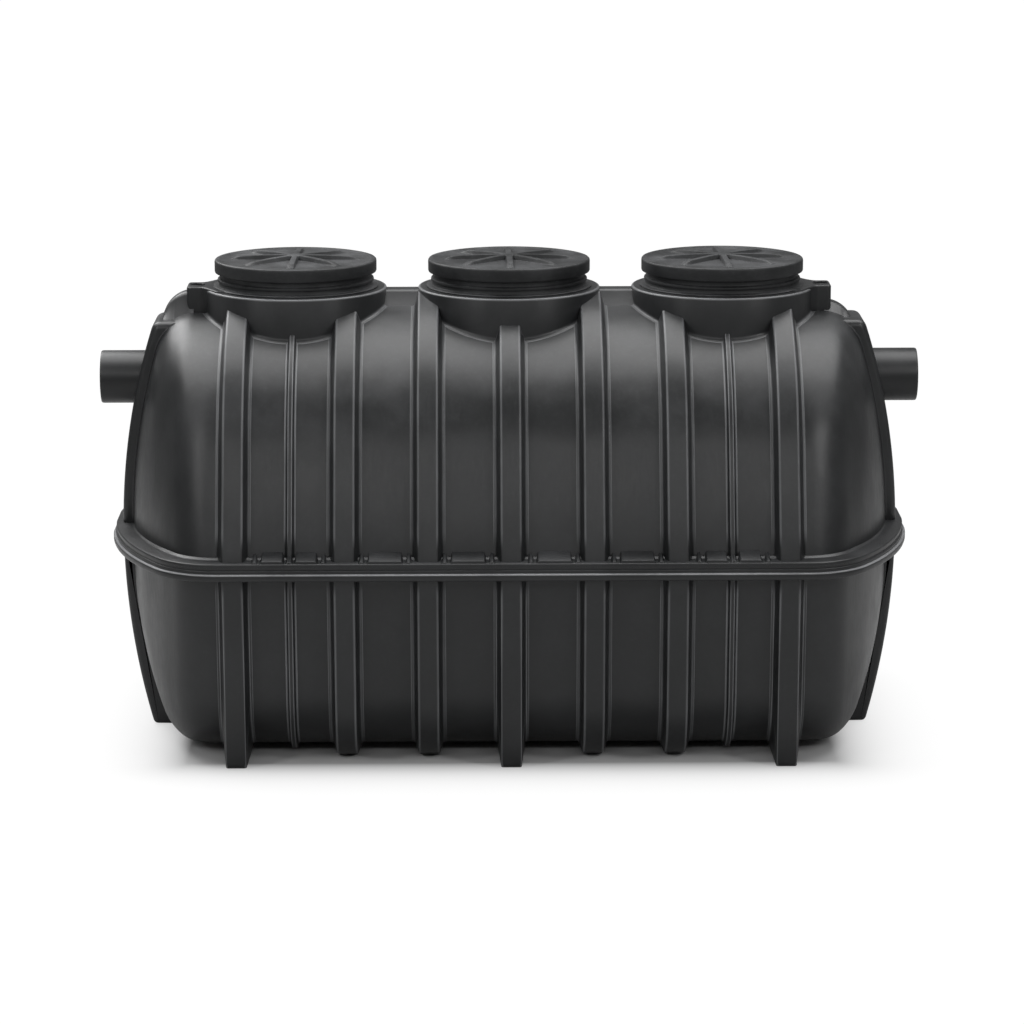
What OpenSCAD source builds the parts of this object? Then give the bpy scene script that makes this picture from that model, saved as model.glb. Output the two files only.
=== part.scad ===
// Horizontal septic tank: two moulded half shells joined at a flange, hoop ribs that
// run down to the floor as feet, three lidded turrets and a spigot at each end.
// X runs along the tank, Y across it and Z up; the origin is on the floor, under the middle.

/* [Cross-section] */
// Height of the joint plane between the two half shells
parting_z = 415; // [385:5:445]
// Height of the upper half above the joint plane
upper_height = 473; // [450:1:500]
// Half the width of the body at the joint plane
half_width = 430; // [415:1:445]
// Radius of the arched crown
crown_r = 370; // [350:5:385]
// Height of the underside of the lower half shell
underside_z = 16; // [12:1:24]
// Radius between the sides and the underside
tub_corner_r = 150; // [120:5:180]
// Draft of the sides of the lower half shell, in degrees
tub_draft = 5.2; // [3:0.2:8]
// Thickness of the moulded walls
wall = 7; // [5:0.5:9]

/* [Domed ends] */
// Length of each domed end, at the joint plane
end_len = 202.5; // [180:0.5:230]
// Radius of the upright corners, seen from above
plan_corner_r = 110; // [95:5:125]
// Radius of the upper end wall, seen from the side
end_side_r = 1383; // [1200:20:1600]
// Radius of the lower end wall, seen from the side
keel_side_r = 870; // [780:10:1000]
// Drop of the domed end below the crown
end_step = 14; // [8:1:20]
// Radius between the crown and the end wall
crown_corner_r = 80; // [60:5:95]
// Radius between the underside and the end wall
keel_corner_r = 85; // [60:5:110]

/* [Joint flange] */
// Reach of the lower flange beyond the body
flange_reach = 46; // [42:1:54]
// How much less the flanges reach beyond the end walls
flange_end_trim = 5; // [0:1:10]
// Thickness of the lower flange
lower_flange_t = 15; // [12:1:20]
// Thickness of the upper flange
upper_flange_t = 20; // [16:1:24]
// Set-back of the upper flange from the lip of the lower one
lip_step = 5; // [3:0.5:8]
// Height of the bands above and below the groove round the upper flange
flange_band = 7; // [5:0.5:7]
// Depth of that groove
groove_d = 3; // [2:0.5:5]
// Height of the flange pads at the body
pad_h = 14; // [10:1:18]
// Height of the flange pads at their front edge
pad_lip_h = 5; // [3:1:8]
// Gap between a pad and the ribs beside it
pad_gap = 12; // [8:1:16]

/* [Ribs] */
// Distance of the outermost major ribs from the middle
outer_rib_x = 557; // [545:1:565]
// Distance of the outer minor ribs from the middle
mid_rib_x = 334; // [325:1:340]
// Distance of the inner minor ribs from the middle
inner_rib_x = 167; // [160:1:180]
// Width of a rib where it meets the shell
rib_base_w = 59; // [52:1:64]
// Width of a rib's face
rib_face_w = 41; // [36:1:46]
// Height of a rib above the shell
rib_h = 28; // [22:1:34]
// How far a major rib's foot stands in from its width at the joint plane
major_foot_in = 33; // [24:1:44]
// Corner radius of a major rib's foot
major_toe_r = 12; // [8:1:30]
// Corner radius of a minor rib's foot
minor_toe_r = 140; // [120:5:160]
// Width of a thin rib where it meets the shell
thin_base_w = 18; // [14:1:24]
// Width of a thin rib's face
thin_face_w = 9; // [7:1:12]
// Height of a thin rib above the shell
thin_h = 12; // [8:1:12]
// Length of the short pads beside the thin ribs
short_pad_len = 48; // [30:2:60]
// Half the width of the end ribs
end_rib_half_w = 72; // [66:1:80]
// Height of the end ribs' face above the end wall
end_rib_h = 18; // [14:1:24]
// Radius of the lower end ribs' face, seen from the side
end_foot_r = 1560; // [1400:20:1800]
// Drop of the end ribs' flat top below the crown
end_rib_drop = 30; // [22:1:44]

/* [Turrets] */
// Distance of the end turrets from the middle
turret_x = 443; // [430:1:450]
// Outer radius of a collar
collar_r = 189; // [184:1:195]
// Height of the collars' ring face above the crown
collar_rise = 34; // [24:1:44]
// Wall of a collar
collar_wall = 9; // [7:1:12]
// Outer radius of the necks
neck_r = 159.5; // [155:0.5:164]
// Wall of the necks
neck_wall = 8.5; // [6:0.5:10]
// Reach of a neck's flange beyond the neck
neck_flange_reach = 12; // [8:1:16]
// Thickness of a neck's flange, which lies on the collar
neck_flange_t = 4; // [3:1:6]
// Radial depth of the grooves in a neck
neck_groove_d = 4; // [2:0.5:6]
// Height of the lids' top face above the collars
lid_rise = 58; // [50:1:66]
// Outer radius of a lid
lid_r = 168; // [165:1:175]
// Height of a lid's rim
lid_rim_h = 27; // [22:1:30]
// Radial clearance between a lid's rim and its neck
lid_clear = 2; // [1:0.5:4]
// Thickness of a lid's plate
lid_t = 7; // [5:1:9]
// Height of the star of ribs above a lid's plate, at its hub
star_h = 10; // [6:1:12]
// Height of the star's arms above a lid's plate, at their tips
star_tip_h = 2; // [1:0.5:4]
// Reach of the star's arms from the middle of a lid
star_reach = 134; // [110:2:150]
// Width of each arm of the star
star_w = 14; // [10:1:18]

/* [Lugs and rails] */
// Reach of a lifting lug from the turret's axis
lug_reach = 225; // [222:1:232]
// Half the width of a lifting lug
lug_half_w = 35; // [32:1:40]
// Corner radius of a lifting lug, seen from above
lug_corner_r = 20; // [12:1:28]
// Height of the lugs' top face above the collars
lug_rise = 5; // [0:1:8]
// Radius of a lug's eye
lug_eye_r = 13; // [10:1:15]
// Depth of the lug's eye, above its relieved foot
lug_eye_depth = 30; // [24:1:36]
// Width of lug left outside the eye
lug_eye_edge = 6; // [5:0.5:9]
// Width of the crown rails
rail_w = 44; // [38:1:50]
// Drop of the crown rails' top face below the collars
rail_drop = 5; // [0:1:10]
// Radius of the shoulder ribs' arc
shoulder_r = 65; // [60:1:70]
// How far inside the lug's end the arc of a shoulder rib is centred
shoulder_set = 13; // [8:1:24]
// Width of the shoulder ribs
shoulder_w = 40; // [32:1:48]
// Height of the tall shoulder rib's arc, above the dome, at the inlet end
tall_shoulder_h = 41; // [34:1:46]
// Height of the low shoulder rib's arc, above the dome, at the outlet end
low_shoulder_h = 17; // [12:1:22]

/* [Spigots] */
// Outer radius of the inlet and outlet pipes
pipe_r = 55; // [50:0.5:60]
// Wall of the pipes
pipe_wall = 3.2; // [2.5:0.1:5]
// Drop of the inlet pipe's axis below the crown
inlet_drop = 156; // [140:1:175]
// Drop of the outlet pipe's axis below the crown
outlet_drop = 156; // [140:1:175]
// Reach of the pipes' mouths beyond the end wall
spigot_len = 61; // [56:1:90]
// Reach of a pipe inside the end wall
pipe_inside = 30; // [20:5:60]
// Step by which a pipe is slimmer where it passes through the wall
pipe_step = 1; // [0.8:0.1:2]
// Radial clearance of a pipe in its wall
pipe_clear = 0.3; // [0.1:0.1:0.5]

/* [Hidden] */

shell_colour = "#2b2c2e";
rib_colour = "#303133";
lid_colour = "#36373a";
pipe_colour = "#3a3b3e";

// Facets of the swept outlines: along the crown's arc, round a tub corner, and along an end
crown_steps = 20;
corner_steps = 6;
end_steps = 14;
// The last ring of an end is a small flat, reached at this angle of the sine spacing
tip_angle = 84;
// How much wider the relief below a lug's eye is, and the play left beside ribs and pipes
lug_relief = 2;
seat = 2;
// Half widths of the grooves in a neck, at their mouth and at their floor
groove_mouth = 5;
groove_floor = 3;
// Overlap that makes cuts run clean through, and round surfaces' resolution
eps = 1;
$fn = 96;

barrel_half = outer_rib_x + rib_base_w / 2;
end_x = barrel_half + end_len;
crown_z = parting_z + upper_height;
crown_h = upper_height;
collar_z = crown_z + collar_rise;
lid_z = collar_z + lid_rise;
lug_z = collar_z + lug_rise;
rail_z = collar_z - rail_drop;
end_rib_top_z = crown_z - end_rib_drop;
major_foot_y = half_width + rib_h - major_foot_in;
pipe_x = end_x + spigot_len;
pipe_hole_r = pipe_r - pipe_step + pipe_clear;
lug_relief_r = lug_eye_r + lug_relief;
end_crown_h = crown_h - end_step;
keel_h = parting_z - underside_z;
neck_bore_r = neck_r - neck_wall;
crown_centre_z = crown_z - crown_r;
flange_top_z = parting_z + upper_flange_t;
flange_under_z = parting_z - lower_flange_t;
// Angle above the horizontal at which the crown's arc runs into the straight side
side_angle = atan2(parting_z - crown_centre_z, half_width)
    + acos(crown_r / norm([half_width, parting_z - crown_centre_z]));
// Radius of the end wall in plan, tangent to the upright corners
end_plan_r = (end_len * end_len - plan_corner_r * plan_corner_r
    + pow(half_width - plan_corner_r, 2)) / (2 * (end_len - plan_corner_r));
rib_xs = [-outer_rib_x, -mid_rib_x, -inner_rib_x, 0, inner_rib_x, mid_rib_x, outer_rib_x];

// ---- Outlines across the tank, as [y, z] points ----

// Arched outline of the upper half, set in by `inset`, from the +Y side at height z0 to the -Y side
function vault(inset, z0) =
    let (r = crown_r - inset,
         y0 = (r - (z0 - crown_centre_z) * sin(side_angle)) / cos(side_angle))
    concat([[y0, z0]],
        [for (i = [0 : crown_steps])
            let (a = side_angle + (180 - 2 * side_angle) * i / crown_steps)
            [r * cos(a), crown_centre_z + r * sin(a)]],
        [[-y0, z0]]);

// Tub outline from the -Y side at height z0, round both corners, to the +Y side: `half` is the
// half width at the joint plane, `draft` the side's slope, `low` the underside, `r` the corner
function tub(inset, z0, half, draft, low, r) =
    let (zc = low + r,
         yc = half + ((zc - parting_z) * sin(draft) - r) / cos(draft),
         y0 = half + ((z0 - parting_z) * sin(draft) - inset) / cos(draft),
         quarter = [for (i = [0 : corner_steps])
             let (a = -draft - (90 - draft) * i / corner_steps)
             [yc + (r - inset) * cos(a), zc + (r - inset) * sin(a)]])
    concat([[-y0, z0]],
        [for (i = [0 : corner_steps]) [-quarter[i][0], quarter[i][1]]],
        [for (i = [corner_steps : -1 : 0]) quarter[i]],
        [[y0, z0]]);

// Half width of the upper body at height z, on its straight side
function side_y(z) = (crown_r - (z - crown_centre_z) * sin(side_angle)) / cos(side_angle);

function body_tub(inset, z0) = tub(inset, z0, half_width, tub_draft, underside_z, tub_corner_r);

function major_tub(z0) =
    tub(0, z0, half_width + rib_h, atan((half_width + rib_h - major_foot_y) / parting_z), 0, major_toe_r);

function minor_tub(z0) =
    tub(0, z0, half_width + rib_h, tub_draft, 0, minor_toe_r);

// ---- Domed ends ----

// Half extent of a domed end at distance x from the middle: straight, then a corner of radius r,
// then an end wall of radius big_r that is square to X at end_x, all set in by `inset`
function end_extent(x, span, r, big_r, inset) =
    let (xc = end_x - big_r,
         xf = xc + sqrt(pow(big_r - r, 2) - pow(span - r, 2)),
         xt = xc + (xf - xc) * (big_r - inset) / (big_r - r))
    x <= xf ? span - inset
    : x <= xt ? span - r + sqrt(max(0, pow(r - inset, 2) - pow(x - xf, 2)))
    : sqrt(max(0, pow(big_r - inset, 2) - pow(x - xc, 2)));

// X of ring k, spaced by a sine so that the rings crowd towards the end wall
function ring_x(k, inset) = barrel_half + (end_len - inset) * sin(tip_angle * k / end_steps);

// Rings of a domed end, from the barrel outwards, each the outline scaled in Y and Z: in side
// view the end spans span_z from the joint plane, with corner radius r_z and wall radius side_r
function end_rings(outline, span_z, r_z, side_r, inset) =
    [for (k = [0 : end_steps])
        let (x = ring_x(k, inset),
             ky = end_extent(x, half_width, plan_corner_r, end_plan_r, inset) / (half_width - inset),
             kz = end_extent(x, span_z, r_z, side_r, inset) / (span_z - inset))
        [for (p = outline) [x, p[0] * ky, parting_z + (p[1] - parting_z) * kz]]];

function flatten(rings) = [for (ring = rings) for (p = ring) p];

// The upper end's outline is the vault, lowered by the step at the crown
function upper_end_outline(inset) =
    let (k = (end_crown_h - inset) / (crown_h - inset))
    [for (p = vault(inset, parting_z)) [p[0], parting_z + (p[1] - parting_z) * k]];

function upper_end_rings(inset) =
    end_rings(upper_end_outline(inset), end_crown_h, crown_corner_r, end_side_r, inset);

function lower_end_rings(inset) =
    end_rings(body_tub(inset, parting_z), keel_h, keel_corner_r, keel_side_r, inset);

// Quads between neighbouring rings of m points each, as triangles, from vertex index `from`
function loft_faces(n, m, from, flip) =
    [for (k = [0 : n - 1]) for (j = [0 : m - 2])
        let (a = from + k * m + j, b = a + m, c = b + 1, d = a + 1)
        for (t = flip ? [[a, c, b], [a, d, c]] : [[a, b, c], [a, c, d]]) t];

// Solid dome with flat faces at the barrel, at the joint plane and at its tip
module dome_solid(rings) {
    n = len(rings) - 1;
    m = len(rings[0]);
    polyhedron(points = flatten(rings), faces = concat(
        loft_faces(n, m, 0, false),
        [[for (j = [0 : m - 1]) j]],
        [[for (j = [m - 1 : -1 : 0]) n * m + j]],
        [concat([for (k = [0 : n]) k * m + m - 1], [for (k = [n : -1 : 0]) k * m])]));
}

// Hollow dome between outer and inner rings, open at the barrel and at the joint plane
module dome_shell(outer, inner) {
    n = len(outer) - 1;
    m = len(outer[0]);
    q = (n + 1) * m;
    polyhedron(points = concat(flatten(outer), flatten(inner)), faces = concat(
        loft_faces(n, m, 0, false),
        loft_faces(n, m, q, true),
        // Faces at the barrel and at the joint plane
        [for (j = [0 : m - 2]) [j, j + 1, q + j + 1, q + j]],
        [for (k = [0 : n - 1]) let (a = k * m) [q + a, q + a + m, a + m, a]],
        [for (k = [0 : n - 1]) let (a = k * m + m - 1) [a, a + m, q + a + m, q + a]],
        // Tip: outer flat, inner flat and the strip between them at the joint plane
        [[for (j = [m - 1 : -1 : 0]) n * m + j]],
        [[for (j = [0 : m - 1]) q + n * m + j]],
        [[q + n * m, q + n * m + m - 1, n * m + m - 1, n * m]]));
}

// Mirrors its children to the inlet end, at -X, or leaves them at the outlet end
module at_end(side) {
    mirror([side < 0 ? 1 : 0, 0, 0]) children();
}

// Extrudes a [y, z] outline along X, centred on x
module along_x(x, length) {
    translate([x - length / 2, 0, 0]) rotate([90, 0, 90]) linear_extrude(length) children();
}

// Cylinder along X, from x to x + length, on the tank's middle plane at height z
module bar_x(x, z, r, length) {
    translate([x, 0, z]) rotate([0, 90, 0]) cylinder(r = r, h = length);
}

function spigot_z(side) = crown_z - (side < 0 ? inlet_drop : outlet_drop);

// ---- Shells ----

module lower_shell_middle() {
    color(shell_colour) along_x(0, 2 * barrel_half)
        difference() {
            polygon(body_tub(0, parting_z));
            polygon(body_tub(wall, parting_z + eps));
        }
}

module lower_shell_end(side) {
    color(shell_colour) at_end(side) dome_shell(lower_end_rings(0), lower_end_rings(wall));
}

module upper_shell_middle() {
    color(shell_colour) difference() {
        union() {
            along_x(0, 2 * barrel_half) difference() {
                polygon(vault(0, parting_z));
                polygon(vault(wall, parting_z - eps));
            }
            // Step down to the lower crown of the domed ends
            for (side = [-1, 1])
                along_x(side * (barrel_half - wall / 2), wall) difference() {
                    polygon(vault(0, parting_z));
                    polygon(upper_end_outline(wall));
                }
        }
        for (x = [-turret_x, 0, turret_x])
            translate([x, 0, parting_z]) cylinder(r = collar_r - collar_wall, h = lid_z);
    }
}

module upper_shell_end(side) {
    color(shell_colour) at_end(side) difference() {
        dome_shell(upper_end_rings(0), upper_end_rings(wall));
        translate([turret_x, 0, parting_z]) cylinder(r = collar_r - collar_wall, h = lid_z);
        bar_x(barrel_half, spigot_z(side), pipe_hole_r, end_len + eps);
    }
}

// The two halves of the body as solids, which trim what stands on them
module upper_body() {
    along_x(0, 2 * barrel_half) polygon(vault(0, parting_z));
    for (side = [-1, 1]) at_end(side) dome_solid(upper_end_rings(0));
}

module lower_body() {
    along_x(0, 2 * barrel_half) polygon(body_tub(0, parting_z));
    for (side = [-1, 1]) at_end(side) dome_solid(lower_end_rings(0));
}

// ---- Joint flange ----

// Plan of the body at the joint plane, grown by `out`, as [x, y] points round the tank
function flange_plan(out) =
    let (trim = (end_len + out - flange_end_trim) / (end_len + out),
         quarter = [for (k = [0 : end_steps])
        let (x = ring_x(k, -out))
        [barrel_half + (x - barrel_half) * trim,
         end_extent(x, half_width, plan_corner_r, end_plan_r, -out)]])
    concat([for (p = quarter) p],
        [for (k = [end_steps : -1 : 0]) [quarter[k][0], -quarter[k][1]]],
        [for (p = quarter) [-p[0], -p[1]]],
        [for (k = [end_steps : -1 : 0]) [-quarter[k][0], quarter[k][1]]]);

module flange_plate(out, z, t) {
    translate([0, 0, z]) linear_extrude(t) polygon(flange_plan(out));
}

module lower_flange() {
    color(shell_colour) difference() {
        flange_plate(flange_reach, flange_under_z, lower_flange_t);
        lower_body();
    }
}

module upper_flange() {
    reach = flange_reach - lip_step;
    color(shell_colour) difference() {
        union() {
            flange_plate(reach - groove_d, parting_z, upper_flange_t);
            flange_plate(reach, parting_z, flange_band);
            flange_plate(reach - groove_d / 2, flange_top_z - flange_band, flange_band);
        }
        upper_body();
    }
}

// One pad from x0 to x1 on the -Y side, its top sloping up to the body
module pad(x0, x1) {
    front = half_width + flange_reach - lip_step - groove_d;
    back_z = flange_top_z + pad_h;
    along_x((x0 + x1) / 2, x1 - x0) polygon([
        [-front, flange_top_z], [-front, flange_top_z + pad_lip_h],
        [-side_y(back_z), back_z], [-side_y(flange_top_z), flange_top_z]]);
}

// Pads between the ribs on both long sides
module flange_pads() {
    from_rib = rib_base_w / 2 + pad_gap;
    from_thin = thin_base_w / 2 + seat;
    spans = [
        [pad_gap + from_rib, inner_rib_x - from_rib],
        [inner_rib_x + from_rib + pad_gap, mid_rib_x - from_rib],
        [turret_x - from_thin - short_pad_len, turret_x - from_thin],
        [turret_x + from_thin, turret_x + from_thin + short_pad_len]];
    color(rib_colour)
        for (span = spans, mx = [0, 1], my = [0, 1])
            mirror([mx, 0, 0]) mirror([0, my, 0]) pad(span[0], span[1]);
}

// ---- Ribs ----

// Sweeps a drafted rib between an inner and an outer outline with equal numbers of points
module rib(x, inner, outer, base_w, face_w) {
    n = len(inner) - 1;
    points = [for (j = [0 : n]) for (p = [
        [x - base_w / 2, inner[j][0], inner[j][1]], [x + base_w / 2, inner[j][0], inner[j][1]],
        [x + face_w / 2, outer[j][0], outer[j][1]], [x - face_w / 2, outer[j][0], outer[j][1]]]) p];
    polyhedron(points = points, faces = concat(
        [[0, 1, 2, 3], [4 * n + 3, 4 * n + 2, 4 * n + 1, 4 * n]],
        [for (j = [0 : n - 1]) let (a = 4 * j, b = a + 4)
            for (t = [[a, b, b + 1], [a, b + 1, a + 1],
                [a + 1, b + 1, b + 2], [a + 1, b + 2, a + 2],
                [a + 3, a + 2, b + 2], [a + 3, b + 2, b + 3],
                [a, a + 3, b + 3], [a, b + 3, b]]) t]));
}

// Footprints of the turrets and crown rails, cut from what runs over the crown
module crown_cuts() {
    for (x = [-turret_x, 0, turret_x])
        translate([x, 0, parting_z]) cylinder(r = collar_r, h = lid_z);
    translate([-turret_x, -rail_w / 2, parting_z]) cube([2 * turret_x, rail_w, lid_z]);
}

module lower_rib(i) {
    outer = i % 3 == 0 ? major_tub(flange_under_z) : minor_tub(flange_under_z);
    color(rib_colour) rib(rib_xs[i], body_tub(0, flange_under_z), outer, rib_base_w, rib_face_w);
}

module upper_rib(i) {
    color(rib_colour) difference() {
        rib(rib_xs[i], vault(0, flange_top_z), vault(-rib_h, flange_top_z), rib_base_w, rib_face_w);
        crown_cuts();
    }
}

module thin_ribs(side) {
    x = side * turret_x;
    color(rib_colour) {
        rib(x, body_tub(0, flange_under_z), body_tub(-thin_h, flange_under_z), thin_base_w, thin_face_w);
        difference() {
            rib(x, vault(0, flange_top_z), vault(-thin_h, flange_top_z), thin_base_w, thin_face_w);
            crown_cuts();
        }
    }
}

// ---- End ribs ----

// Block against the end wall from height z0 to z1 and outwards from x0, with a face of radius
// face_r that stands end_rib_h off the wall at the joint plane
module end_rib_block(x0, z0, z1, face_r) {
    rotate([90, 0, 0]) linear_extrude(2 * end_rib_half_w, center = true) intersection() {
        translate([end_x + end_rib_h - face_r, parting_z]) circle(r = face_r, $fn = 360);
        translate([x0, z0]) square([end_x, z1 - z0]);
    }
}

module lower_end_rib(side) {
    color(rib_colour) at_end(side) difference() {
        end_rib_block(end_x - keel_corner_r - end_rib_h * 2, 0, flange_under_z, end_foot_r);
        dome_solid(lower_end_rings(0));
    }
}

module upper_end_rib(side) {
    color(rib_colour) at_end(side) difference() {
        end_rib_block(turret_x + lug_reach, flange_top_z, end_rib_top_z, end_side_r + end_rib_h);
        dome_solid(upper_end_rings(0));
        bar_x(barrel_half, spigot_z(side), pipe_hole_r, end_len * 2);
    }
}

// ---- Turrets ----

module collar(x, side) {
    color(shell_colour) difference() {
        translate([x, 0, parting_z]) cylinder(r = collar_r, h = collar_z - parting_z);
        translate([x, 0, parting_z - eps])
            cylinder(r = collar_r - collar_wall, h = collar_z - parting_z + eps - neck_flange_t * 2);
        translate([x, 0, parting_z]) cylinder(r = neck_bore_r, h = collar_z);
        along_x(0, 2 * barrel_half) polygon(vault(0, parting_z - eps));
        if (side != 0) at_end(side) dome_solid(upper_end_rings(0));
    }
}

module neck(x) {
    top_z = lid_z - lid_t;
    mid_z = (collar_z + neck_flange_t + top_z) / 2;
    color(lid_colour) translate([x, 0, 0]) rotate_extrude() polygon([
        [neck_bore_r, collar_z], [neck_r + neck_flange_reach, collar_z],
        [neck_r + neck_flange_reach, collar_z + neck_flange_t], [neck_r, collar_z + neck_flange_t],
        [neck_r, mid_z - groove_mouth], [neck_r - neck_groove_d, mid_z - groove_floor],
        [neck_r - neck_groove_d, mid_z + groove_floor], [neck_r, mid_z + groove_mouth],
        [neck_r, top_z], [neck_bore_r, top_z]]);
}

module lid(x) {
    color(lid_colour) translate([x, 0, 0]) {
        difference() {
            translate([0, 0, lid_z - lid_rim_h]) cylinder(r = lid_r, h = lid_rim_h);
            translate([0, 0, lid_z - lid_rim_h - eps])
                cylinder(r = neck_r + lid_clear, h = lid_rim_h - lid_t + eps);
        }
        for (a = [0 : 45 : 135]) rotate([90, 0, a]) linear_extrude(star_w, center = true) polygon([
            [-star_reach, lid_z], [-star_reach, lid_z + star_tip_h], [-star_w, lid_z + star_h],
            [star_w, lid_z + star_h], [star_reach, lid_z + star_tip_h], [star_reach, lid_z]]);
    }
}

// ---- Lugs, rails and shoulder ribs ----

module lifting_lug(side) {
    eye_x = turret_x + lug_reach - lug_eye_r - lug_eye_edge;
    flat_half_w = lug_half_w - lug_corner_r;
    at_end(side) difference() {
        translate([0, 0, parting_z]) linear_extrude(lug_z - parting_z) difference() {
            union() {
                translate([turret_x, -lug_half_w]) square([lug_reach - lug_corner_r, 2 * lug_half_w]);
                translate([turret_x, -flat_half_w]) square([lug_reach, 2 * flat_half_w]);
                for (y = [-flat_half_w, flat_half_w])
                    translate([turret_x + lug_reach - lug_corner_r, y]) circle(r = lug_corner_r);
            }
            translate([turret_x, 0]) circle(r = collar_r);
            translate([eye_x, 0]) circle(r = lug_eye_r);
        }
        translate([eye_x, 0, parting_z]) cylinder(r = lug_relief_r, h = lug_z - lug_eye_depth - parting_z);
        dome_solid(upper_end_rings(0));
    }
}

module lifting_lugs() {
    color(rib_colour) for (side = [-1, 1]) lifting_lug(side);
}

module crown_rails() {
    color(rib_colour) difference() {
        translate([-turret_x, -rail_w / 2, parting_z]) cube([2 * turret_x, rail_w, rail_z - parting_z]);
        along_x(0, 2 * barrel_half) polygon(vault(0, parting_z - eps));
        for (x = [-turret_x, 0, turret_x])
            translate([x, 0, parting_z]) cylinder(r = collar_r, h = lid_z);
    }
}

// Arched rib over the shoulder of a domed end, from the lug to the end rib's flat top
module shoulder_rib(side, height) {
    x0 = turret_x + lug_reach;
    top_z = parting_z + end_crown_h + height;
    color(rib_colour) at_end(side) difference() {
        rotate([90, 0, 0]) linear_extrude(shoulder_w, center = true) intersection() {
            translate([x0 - shoulder_set, top_z - shoulder_r]) circle(r = shoulder_r);
            translate([x0, end_rib_top_z]) square([shoulder_r, shoulder_r * 2]);
        }
        dome_solid(upper_end_rings(0));
    }
}

// ---- Spigots ----

// Drain pipe through the end wall and the end rib, a hair slimmer where it passes through
module pipe(side) {
    z = spigot_z(side);
    wall_x = end_x - end_side_r + sqrt(pow(end_side_r, 2) - pow(z - parting_z, 2)) - wall;
    face_x = end_x - end_side_r + seat
        + sqrt(pow(end_side_r + end_rib_h, 2) - pow(z - pipe_r - parting_z, 2));
    color(pipe_colour) at_end(side) difference() {
        union() {
            bar_x(wall_x - pipe_inside, z, pipe_r - pipe_step, face_x - wall_x + pipe_inside);
            bar_x(face_x, z, pipe_r, pipe_x - face_x);
        }
        bar_x(wall_x - pipe_inside - eps, z, pipe_r - pipe_wall, pipe_x - wall_x + pipe_inside + 2 * eps);
    }
}

lower_shell_middle();
lower_shell_end(-1);  // lower_shell_inlet_end
lower_shell_end(1);  // lower_shell_outlet_end
upper_shell_middle();
upper_shell_end(-1);  // upper_shell_inlet_end
upper_shell_end(1);  // upper_shell_outlet_end
lower_flange();
upper_flange();
flange_pads();
lower_rib(0);  // lower_rib_1
lower_rib(1);  // lower_rib_2
lower_rib(2);  // lower_rib_3
lower_rib(3);  // lower_rib_4
lower_rib(4);  // lower_rib_5
lower_rib(5);  // lower_rib_6
lower_rib(6);  // lower_rib_7
upper_rib(0);  // upper_rib_1
upper_rib(1);  // upper_rib_2
upper_rib(2);  // upper_rib_3
upper_rib(3);  // upper_rib_4
upper_rib(4);  // upper_rib_5
upper_rib(5);  // upper_rib_6
upper_rib(6);  // upper_rib_7
thin_ribs(-1);  // thin_ribs_inlet
thin_ribs(1);  // thin_ribs_outlet
lower_end_rib(-1);  // lower_end_rib_inlet
lower_end_rib(1);  // lower_end_rib_outlet
upper_end_rib(-1);  // upper_end_rib_inlet
upper_end_rib(1);  // upper_end_rib_outlet
collar(-turret_x, -1);  // collar_inlet
collar(0, 0);  // collar_middle
collar(turret_x, 1);  // collar_outlet
neck(-turret_x);  // neck_inlet
neck(0);  // neck_middle
neck(turret_x);  // neck_outlet
lid(-turret_x);  // lid_inlet
lid(0);  // lid_middle
lid(turret_x);  // lid_outlet
lifting_lugs();
crown_rails();
shoulder_rib(-1, tall_shoulder_h);  // shoulder_rib_inlet
shoulder_rib(1, low_shoulder_h);  // shoulder_rib_outlet
pipe(-1);  // inlet_pipe
pipe(1);  // outlet_pipe
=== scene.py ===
"""Looks of a moulded septic tank: rounded half-shells, filleted hoop ribs, turrets and studio.

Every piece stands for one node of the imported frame, is built from the same sizes in millimetres,
and wears a procedural plastic finish.
"""

import logging
import math
from dataclasses import dataclass, field, replace
from enum import Enum

import bmesh
import bpy
import numpy as np
from mathutils import Euler, Matrix, Vector


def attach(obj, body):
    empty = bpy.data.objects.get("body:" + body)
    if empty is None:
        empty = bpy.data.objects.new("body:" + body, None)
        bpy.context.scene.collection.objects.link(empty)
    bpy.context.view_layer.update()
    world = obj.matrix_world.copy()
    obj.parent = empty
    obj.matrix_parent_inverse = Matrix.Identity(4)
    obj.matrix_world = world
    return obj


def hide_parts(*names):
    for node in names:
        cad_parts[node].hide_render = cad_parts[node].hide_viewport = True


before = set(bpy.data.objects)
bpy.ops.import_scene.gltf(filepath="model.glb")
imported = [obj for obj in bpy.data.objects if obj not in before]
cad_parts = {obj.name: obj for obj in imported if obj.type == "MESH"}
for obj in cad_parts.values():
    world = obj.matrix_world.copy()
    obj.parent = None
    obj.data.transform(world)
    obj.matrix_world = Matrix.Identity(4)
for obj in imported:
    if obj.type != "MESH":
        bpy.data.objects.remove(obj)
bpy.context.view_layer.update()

LOG = logging.getLogger("septic_tank")
MM = 0.001
TURN = 2 * math.pi
# The mesh attribute that says how much painted highlight each tight edge and cove gets
EDGE_HIGHLIGHT_ATTRIBUTE = "burnish"
SMOOTH = {"interpolation_type": "SMOOTHSTEP"}
# A colour mix's own sockets, by number: its factor, its two colours and what it gives
MIX_FACTOR, MIX_A, MIX_B, MIX_RESULT = 0, 6, 7, 2


# ---------------------------------------------------------------- named options


class End(Enum):
    """The two ends of the tank, by the sign of their X."""

    INLET = -1
    OUTLET = 1

    @property
    def label(self) -> str:
        """The end's name as the frame's nodes spell it."""
        return self.name.lower()


class Half(Enum):
    """The two half-shells."""

    LOWER = "lower"
    UPPER = "upper"


# ---------------------------------------------------------------- finishes


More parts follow.
